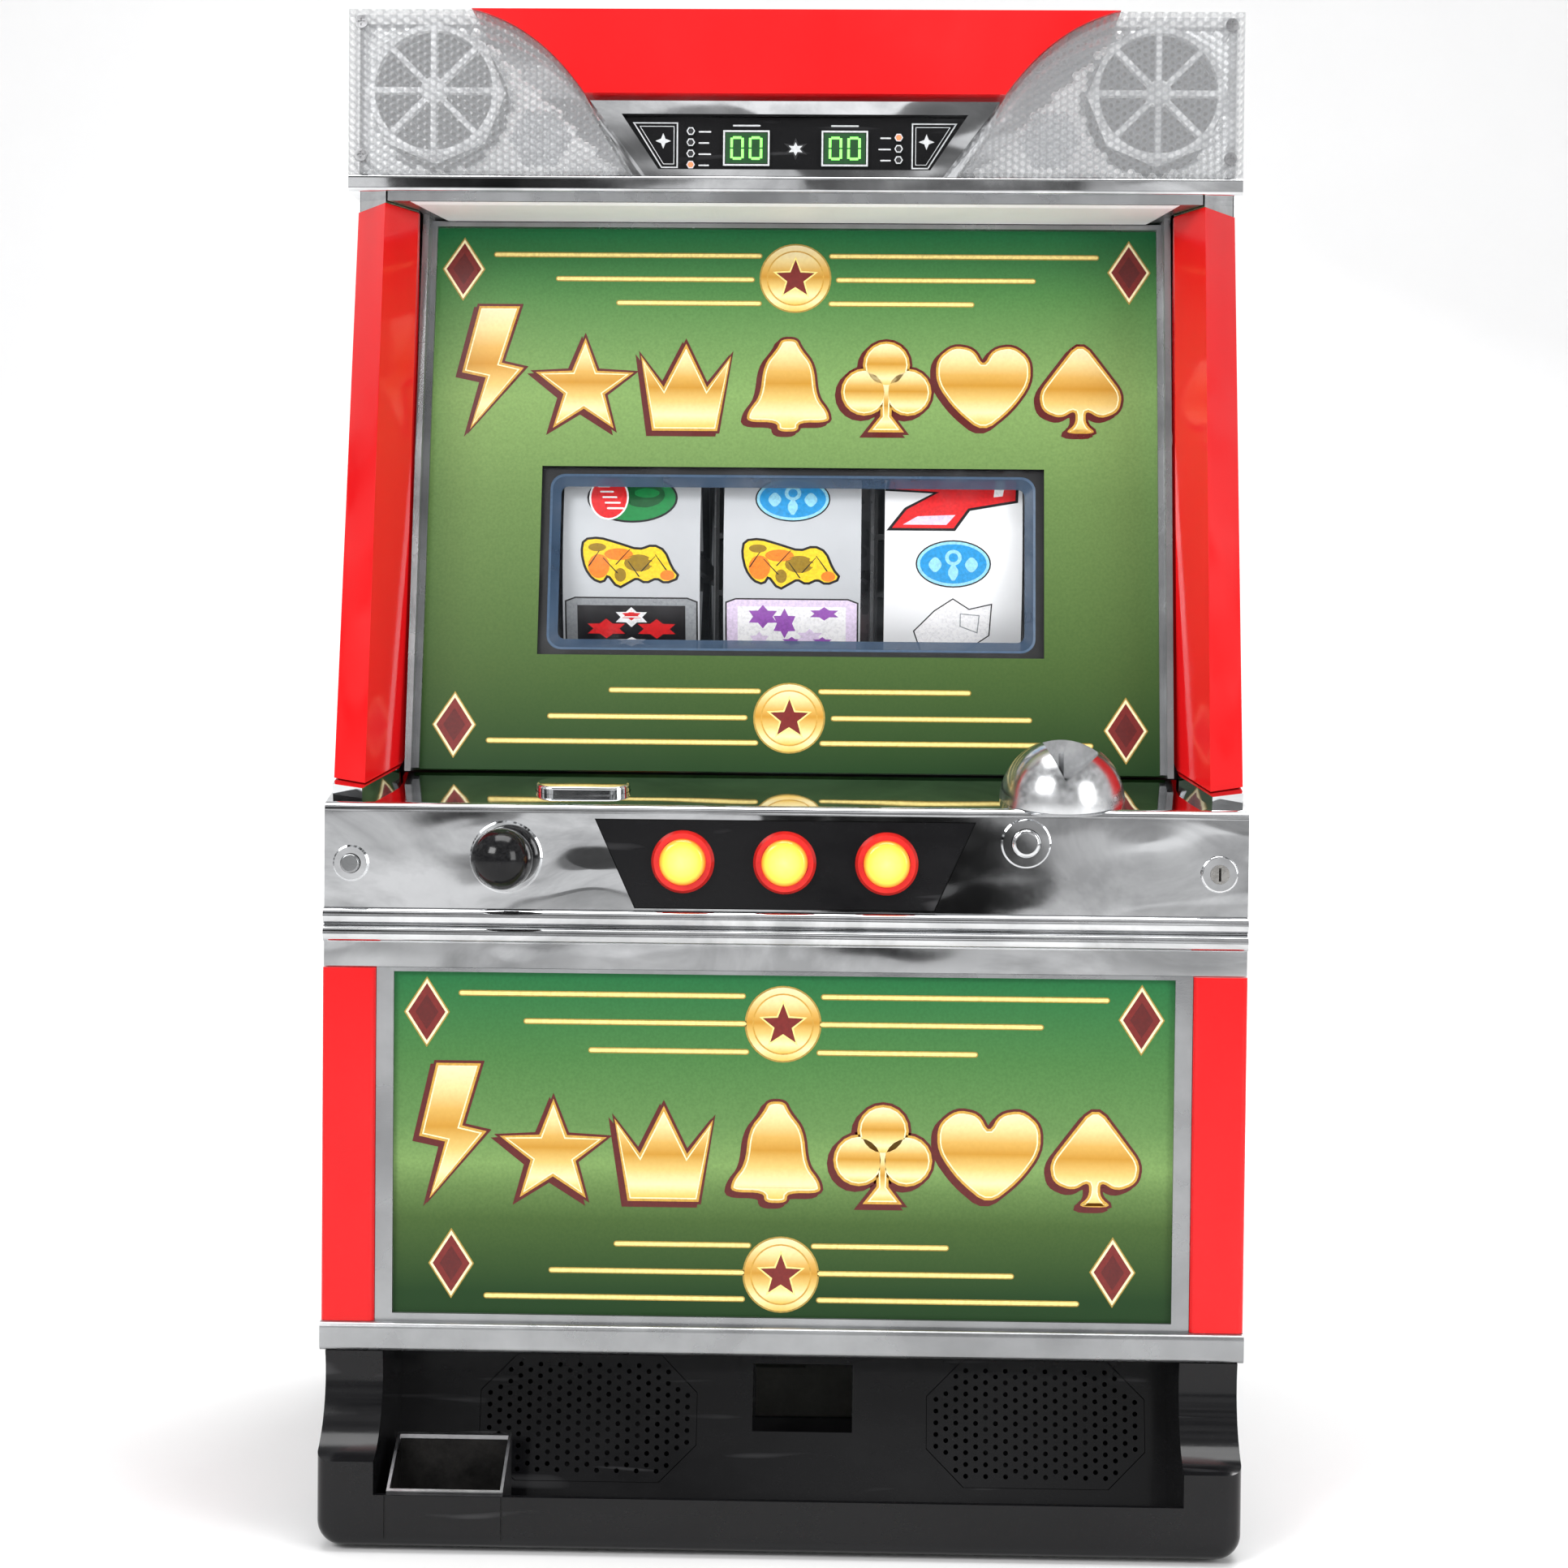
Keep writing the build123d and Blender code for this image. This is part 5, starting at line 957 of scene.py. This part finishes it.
def melon():
    whole = moved(ring(1, 36), 0, 0, 24, 14)
    leaf = moved(ring(1, 24), 6, 2, 12, 8)
    cut = moved(ring(1, 28), -13, 0, 10, 12.6)
    layers = framed(whole, 1.2, black, green)
    layers += [(leaf, 0.14, dark_green), (moved(ring(1, 16), 8, 3, 7, 3), 0.17, green)]
    layers += [(grow(cut, 1.0), 0.18, white), (cut, 0.21, red)]
    for i in range(5):
        layers.append((bar(-19 + 1.4 * i, -13 + 2.0 * i, 7 - 3.4 * i, 0.55), 0.24, white))
    return layers


def ribbon():
    layers = framed(RIBBON, 1.4, black, yellow)
    for x, s, w, h, tone in (
        (-18, -3, 6, 7, orange), (-7, 4, 8, 3.5, orange), (20, -8, 4, 3, orange), (4, -1, 8, 5, olive),
        (13, 1, 3.4, 6, yellow), (-6, -8, 3.2, 4, olive), (-19, 8, 5, 2.4, olive),
    ):
        layers.append((moved(ring(1, 16), x, s, w, h), 0.14 + 0.004 * (x + 27) / 27, tone))
    for x, s, lean in ((-21, 2, 3), (-12, -2, -4), (-5, 3, 4), (1, -4, -3), (9, -1, 4), (16, 0, -3)):
        crease = [(x - lean, s - 5), (x - lean + 0.9, s - 5), (x + lean + 0.5, s + 4), (x + lean, s + 4)]
        layers.append((crease, 0.19, black))
    return layers


def bar_symbol(fill, patches, caps):
    body_outline = [(-36, -14), (36, -14), (36, 14), (31, 16), (-31, 16), (-36, 14)]
    layers = framed(body_outline, 0.9, black, caps)
    layers.append(([(-30, -12), (30, -12), (30, 12), (-30, 12)], 0.13, fill))
    for x, s, w, h, tone in patches:
        layers.append((moved(star(1, 0.6, 6), x, s, w, h), 0.16 + 0.0005 * abs(x), tone))
    return layers


def oval():
    whole = moved(ring(1, 36), 0, 0, 20, 13)
    layers = framed(whole, 0.8, black, sky) + [(moved(ring(1, 36), 0, 0, 18.4, 11.4), 0.13, blue)]
    for sign in (-1, 1):
        layers.append((moved(smooth(DIAMOND, 2), sign * 10, -6, 9, 11), 0.16, sky))
    layers += [(moved(ring(4.6, 20), 0, 3.6), 0.17, sky), (moved(ring(2.6, 16), 0, 3.6), 0.2, blue)]
    layers.append((moved(smooth(DIAMOND, 1), 0, -11, 7, 12), 0.18, sky))
    return layers


def seven():
    layers = framed(SEVEN, 1.6, black, red)
    return layers + [([(22, 2), (27, 2.6), (30, 18), (24, 18)], 0.14, white),
                     ([(-28, -15), (-4, -15), (1, -9), (-20, -10)], 0.14, lilac)]


def gem():
    layers = framed(GEM, 0.7, black, white)
    for facet in GEM_FACETS:
        layers += [(facet, 0.13, steel), (grow(facet[::-1], -0.6), 0.16, white)]
    return layers


def red_bar():
    patches = [
        (-14, -2, 12, 6, red), (14, -2, 12, 6, red), (0, 5, 10, 6, white), (0, 6, 6, 3, red),
        (0, -10, 9, 3, white),
    ]
    return bar_symbol(black, patches, steel)


def purple_bar():
    patches = [(-16, 6, 9, 7, purple), (-4, 2, 7, 9, purple), (18, 8, 9, 4, purple), (-18, -8, 6, 5, lilac),
               (10, -6, 8, 5, lilac), (17, -9, 6, 3, purple), (0, -9, 6, 3, purple)]
    return bar_symbol(white, patches, lilac)


STOPS = 21
# The symbol at each stop, counted upwards from the middle of the window.
REELS = {
    "left": [ribbon, melon, oval, seven, gem, ribbon, purple_bar, oval, melon, ribbon, seven, red_bar,
             oval, gem, ribbon, melon, purple_bar, oval, seven, ribbon, red_bar],
    "center": [ribbon, oval, melon, seven, ribbon, gem, oval, red_bar, melon, ribbon, oval, seven,
               purple_bar, ribbon, oval, melon, gem, ribbon, oval, seven, purple_bar],
    "right": [oval, seven, ribbon, melon, red_bar, oval, gem, ribbon, seven, oval, melon, purple_bar,
              ribbon, oval, seven, gem, melon, ribbon, red_bar, oval, gem],
}
for side, order in REELS.items():
    low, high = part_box(f"reel_{side}_strip")
    centre = (low + high) / 2
    radius = (high.z - low.z) / 2
    pitch = 2 * math.pi * radius / STOPS / MM
    layers = []
    for stop, symbol in enumerate(order):
        for outline, lift, tone in symbol():
            layers.append((moved(outline, 0, stop * pitch, 1.0, 0.95), lift, tone))
    bent_prints(f"reel_{side}_symbols", centre, radius, layers, SYMBOL_INKS, f"reel_{side}")

# ---------------- display
low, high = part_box("display_panel")
display = Panel(Vector((0, low.y, 0)), Vector((0, 0, 1)), Vector((0, -1, 0)))
module_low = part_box("display_indicators")[0]
module_lift = (low.y - module_low.y) / MM
segment = glow_ink("segment_green", (120, 232, 96), 2.2)
module_face = ink("module_green", (20, 70, 30), 0.25)
label_white = ink("label_white", (214, 216, 218), 0.12)
lamp_red = glow_ink("lamp_red", (255, 92, 60), 3.0)
lamp_dark = ink("lamp_dark", (40, 40, 42), 0.0)
CAP_INKS = [segment, module_face, label_white, lamp_red, lamp_dark, finishes["black_gloss"]]
DIGIT_X, DIGIT_Z = (-26.0, 27.0), 736.0
LAMP_X, LAMP_STEP = 56.0, 6.0


def outline_frame(points, width, lift, tone):
    """A thin line along a closed outline: one tile for each side."""
    layers = []
    inside = grow(points, -width)
    for i in range(len(points)):
        j = (i + 1) % len(points)
        layers.append(([points[i], points[j], inside[j], inside[i]], lift, tone))
    return layers


def digit(x, z, width, height, lift):
    """A seven-segment nought: every bar but the middle one."""
    t = 1.35
    left, right, foot, top = x - width / 2, x + width / 2, z - height / 2, z + height / 2
    bars = [
        (left + t, right - t, foot, foot + t), (left + t, right - t, top - t, top),
        (left, left + t, foot + t * 0.6, z - t * 0.3), (left, left + t, z + t * 0.3, top - t * 0.6),
        (right - t, right, foot + t * 0.6, z - t * 0.3), (right - t, right, z + t * 0.3, top - t * 0.6),
    ]
    return [([(a, c), (b, c), (b, d), (a, d)], lift, segment) for a, b, c, d in bars]


layers = []
for x in DIGIT_X:
    box = [(x + dx, DIGIT_Z + dz) for dx, dz in ((-12.5, -9.5), (12.5, -9.5), (12.5, 9.5), (-12.5, 9.5))]
    layers += outline_frame(box, 0.9, module_lift + 0.25, label_white)
    layers.append((grow(box, -1.4), module_lift + 0.12, module_face))
    for shift in (-5.0, 5.0):
        layers += digit(x + shift, DIGIT_Z, 7.2, 12.5, module_lift + 0.3)
    layers.append((bar(x - 7, x + 7, DIGIT_Z + 12.4, 0.45), 0.12, label_white))
for sign, count, lit in ((-1, 4, 0), (1, 3, 2)):
    for i in range(count):
        z = DIGIT_Z + (i - (count - 1) / 2) * LAMP_STEP
        cap = moved(ring(2.3, 6), sign * LAMP_X, z)
        layers += outline_frame(cap, 0.55, module_lift + 0.2, label_white)
        inner = moved(ring(1.6, 6), sign * LAMP_X, z)
        layers.append((inner, module_lift + 0.15, lamp_red if i == lit else lamp_dark))
        reach = sorted((sign * (LAMP_X - 4.5), sign * (LAMP_X - 4.5) - sign * (5 + i % 2)))
        layers.append((bar(reach[0], reach[1], z, 0.4), 0.12, label_white))
for sign in (-1, 1):
    shield = [(sign * dx, DIGIT_Z + dz) for dx, dz in ((63, -10.5), (72, -10.5), (87.5, 14), (63, 14))]
    if sign < 0:
        shield = shield[::-1]
    layers += outline_frame(shield, 0.7, 0.15, label_white)
    layers += outline_frame(grow(shield, -2.0), 0.35, 0.15, label_white)
    layers.append((moved(star(4.2, 0.4, 4), sign * 71, DIGIT_Z + 4), 0.15, label_white))
mark = moved(star(6.0, 0.45, 6), 0.5, DIGIT_Z, 1.2, 1.0)
layers += [(mark, 0.12, lamp_dark), (moved(star(3.6, 0.5, 6), 0.5, DIGIT_Z, 1.2, 1.0), 0.18, label_white)]
prints("display_marks", display, layers, CAP_INKS, "door")

# ---------------- speaker windows
plate_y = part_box("top_housing")[0].y + 0.034
cover_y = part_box("speaker_covers")[0].y
# Painted light: the reflector glows (strength 0.35) to brighten it behind the clear covers.
reflector = surface(
    "reflector_silver", (0.50, 0.51, 0.52, 1), (0.94, 0.95, 0.96, 1), 30, (0.22, 0.4), 0.4, 0.5,
    0.0008, 260.0, glow=0.35,
)
lens_grey = surface(
    "hex_lens", (0.28, 0.29, 0.30, 1), (0.62, 0.64, 0.66, 1), 120, (0.1, 0.25), 0.4, 0.4, 0.0006
)


def studded_plate(name, outline_test, centre, size, pitch, y, rise, material):
    """A field of small six-sided pyramids, as moulded into a lamp reflector, inside a test."""
    mesh = bmesh.new()
    rows = int(size / pitch) + 1
    for row in range(-rows, rows + 1):
        for column in range(-rows, rows + 1):
            x = column * pitch * 0.866
            z = (row + 0.5 * (column % 2)) * pitch
            if not outline_test(x, z):
                continue
            base = [
                mesh.verts.new((centre[0] + x * MM + dx * MM, y, centre[1] + z * MM + dz * MM))
                for dx, dz in ring(pitch * 0.577, 6)
            ]
            tip = mesh.verts.new((centre[0] + x * MM, y - rise * MM, centre[1] + z * MM))
            for i in range(6):
                mesh.faces.new((base[i], base[(i + 1) % 6], tip))
    bmesh.ops.recalc_face_normals(mesh, faces=mesh.faces)
    finish_mesh(name, mesh, [material], "door")


def in_hexagon(radius):
    return lambda x, z: max(abs(x) * 0.866 + abs(z) * 0.5, abs(z)) < radius


COVER_X, COVER_LOW, COVER_HIGH = (0.092, 0.2365), 0.7235, 0.8045
SWEEP_FOOT, SWEEP_LEAN = 0.722, 1.02
SPEAKER_RADIUS = 38.5
LENS_X, LENS_Z = 0.137, 0.7405
for label, sign in (("left", -1), ("right", 1)):
    speaker_x, speaker_z = sign * 0.195, 0.766

    def beside(x, z, sign=sign):
        """The clear cover's inside, clear of the speaker: bounded by its swept edge."""
        far = abs(speaker_x + x * MM)
        height = speaker_z + z * MM
        edge = COVER_X[0] + max(0.0, (height - SWEEP_FOOT)) * SWEEP_LEAN
        within = edge < far < COVER_X[1] and COVER_LOW < height < COVER_HIGH
        return within and math.hypot(x, z) > SPEAKER_RADIUS

    studded_plate(
        f"reflector_{label}", beside, (speaker_x, speaker_z), 110, 4.4, plate_y, 1.6, reflector
    )
    studded_plate(
        f"hex_lens_{label}", in_hexagon(15.5), (sign * LENS_X, LENS_Z), 20, 2.6, cover_y + 0.0055, 1.0,
        lens_grey,
    )

# ---------------- stage, light and camera
floor_paint = Paint("studio_floor")
tone = floor_paint.noise(3.0, 3.0)
floor_paint.set(
    Base_Color=floor_paint.mix(tone, (0.80, 0.80, 0.80, 1), (0.86, 0.86, 0.86, 1)),
    Roughness=floor_paint.span(tone, 0.3, 0.7, 0.55, 0.7),
)


BEND = 1.2


def sweep():
    """A pale floor that curves up into a wall behind the machine."""
    mesh = bmesh.new()
    profile = [(-4.0, 0.0), (1.0, 0.0)]
    for turn in range(10, 91, 10):
        a = math.radians(turn)
        profile.append((1.0 + BEND * math.sin(a), BEND - BEND * math.cos(a)))
    profile.append((2.2, 4.0))
    rows = [[mesh.verts.new((x, y, z)) for x in (-5.0, 5.0)] for y, z in profile]
    for a, b in zip(rows, rows[1:]):
        mesh.faces.new((a[0], a[1], b[1], b[0]))
    made = link_mesh("studio_sweep", mesh, [floor_paint.material])
    for face in made.data.polygons:
        face.use_smooth = True


sweep()


def soft_light(name, place, aim, width, height, power, tone=(1.0, 1.0, 1.0)):
    lamp = bpy.data.lights.new(name, "AREA")
    lamp.shape = "RECTANGLE"
    lamp.size, lamp.size_y = width, height
    lamp.energy = power
    lamp.color = tone
    made = bpy.data.objects.new(name, lamp)
    made.location = place
    made.rotation_euler = (Vector(aim) - Vector(place)).to_track_quat("-Z", "Y").to_euler()
    bpy.context.collection.objects.link(made)


soft_light("key_light", (-1.5, -2.2, 1.9), (0, 0, 0.4), 1.2, 1.0, 50)
soft_light("fill_light", (1.9, -1.9, 1.0), (0, 0, 0.4), 0.9, 1.4, 26)
soft_light("top_light", (0.0, -0.3, 2.5), (0, 0, 0.4), 1.6, 1.0, 34)
soft_light("back_light", (0.6, 1.5, 1.8), (0, 0.1, 0.5), 1.0, 0.8, 24)

bpy.context.scene.view_settings.view_transform = "Standard"
world = bpy.data.worlds.new("studio_world")
bpy.context.scene.world = world
world.use_nodes = True
sky_tree = world.node_tree
sky_tree.nodes.clear()


def sky_node(kind, links=(), **inputs):
    made = sky_tree.nodes.new(kind)
    for key, value in inputs.items():
        made.inputs[key].default_value = value
    for key, source in links:
        sky_tree.links.new(source, made.inputs[key])
    return made


def sky_ramp(factor, stops):
    made = sky_node("ShaderNodeValToRGB", [("Fac", factor)])
    made.color_ramp.elements.remove(made.color_ramp.elements[1])
    for index, (position, value) in enumerate(stops):
        element = made.color_ramp.elements[0] if index == 0 else made.color_ramp.elements.new(position)
        element.position = position
        element.color = (value, value, value * 1.01, 1)
    return made.outputs[0]


# Soft clouds of light with angular patches over them, which is what chrome shows of a room.
sky_place = sky_node("ShaderNodeTexCoord").outputs["Generated"]
sky_map = sky_node("ShaderNodeMapping", [("Vector", sky_place)], Scale=(2.2, 1.4, 3.6)).outputs[0]
clouds = sky_node("ShaderNodeTexNoise", [("Vector", sky_map)], Scale=1.5, Detail=1.5).outputs["Fac"]
patches = sky_node("ShaderNodeTexVoronoi", [("Vector", sky_map)], Scale=7.0).outputs["Color"]
blend = sky_tree.nodes.new("ShaderNodeMix")
blend.data_type = "RGBA"
blend.inputs[0].default_value = 0.6
soft = sky_ramp(clouds, [(0.0, 0.03), (0.42, 0.03), (0.49, 0.4), (0.56, 1.2), (1.0, 1.3)])
hard = sky_ramp(patches, [(0.0, 0.0), (0.34, 0.02), (0.48, 0.5), (0.62, 2.0), (1.0, 2.4)])
sky_tree.links.new(soft, blend.inputs[6])
sky_tree.links.new(hard, blend.inputs[7])
# Seen directly the room is plain and pale; the patches only light the machine.
backdrop = sky_tree.nodes.new("ShaderNodeMix")
backdrop.data_type = "RGBA"
backdrop.inputs[7].default_value = (1.3, 1.3, 1.3, 1)
sky_tree.links.new(sky_node("ShaderNodeLightPath").outputs["Is Camera Ray"], backdrop.inputs[0])
sky_tree.links.new(blend.outputs[2], backdrop.inputs[6])
sky_shade = sky_node("ShaderNodeBackground", [("Color", backdrop.outputs[2])], Strength=0.62)
sky_node("ShaderNodeOutputWorld", [("Surface", sky_shade.outputs[0])])

# The camera that was fitted to the photograph.
yaw, pitch, roll = (math.radians(a) for a in (-1.44, -1.66, 0.55))
ahead = Vector((math.sin(yaw) * math.cos(pitch), math.cos(yaw) * math.cos(pitch), math.sin(pitch)))
level = ahead.cross(Vector((0, 0, 1))).normalized()
above = level.cross(ahead)
right = level * math.cos(roll) + above * math.sin(roll)
upward = above * math.cos(roll) - level * math.sin(roll)
eye = bpy.data.objects.new("camera", bpy.data.cameras.new("camera"))
turned = Matrix((right, upward, -ahead)).transposed().to_4x4()
EYE_AT = (0.037, -1.691, 0.439)
eye.matrix_world = Matrix.Translation(EYE_AT) @ turned
eye.data.sensor_width = 36
eye.data.lens = 66.48
eye.data.dof.use_dof = False
bpy.context.collection.objects.link(eye)
bpy.context.scene.camera = eye
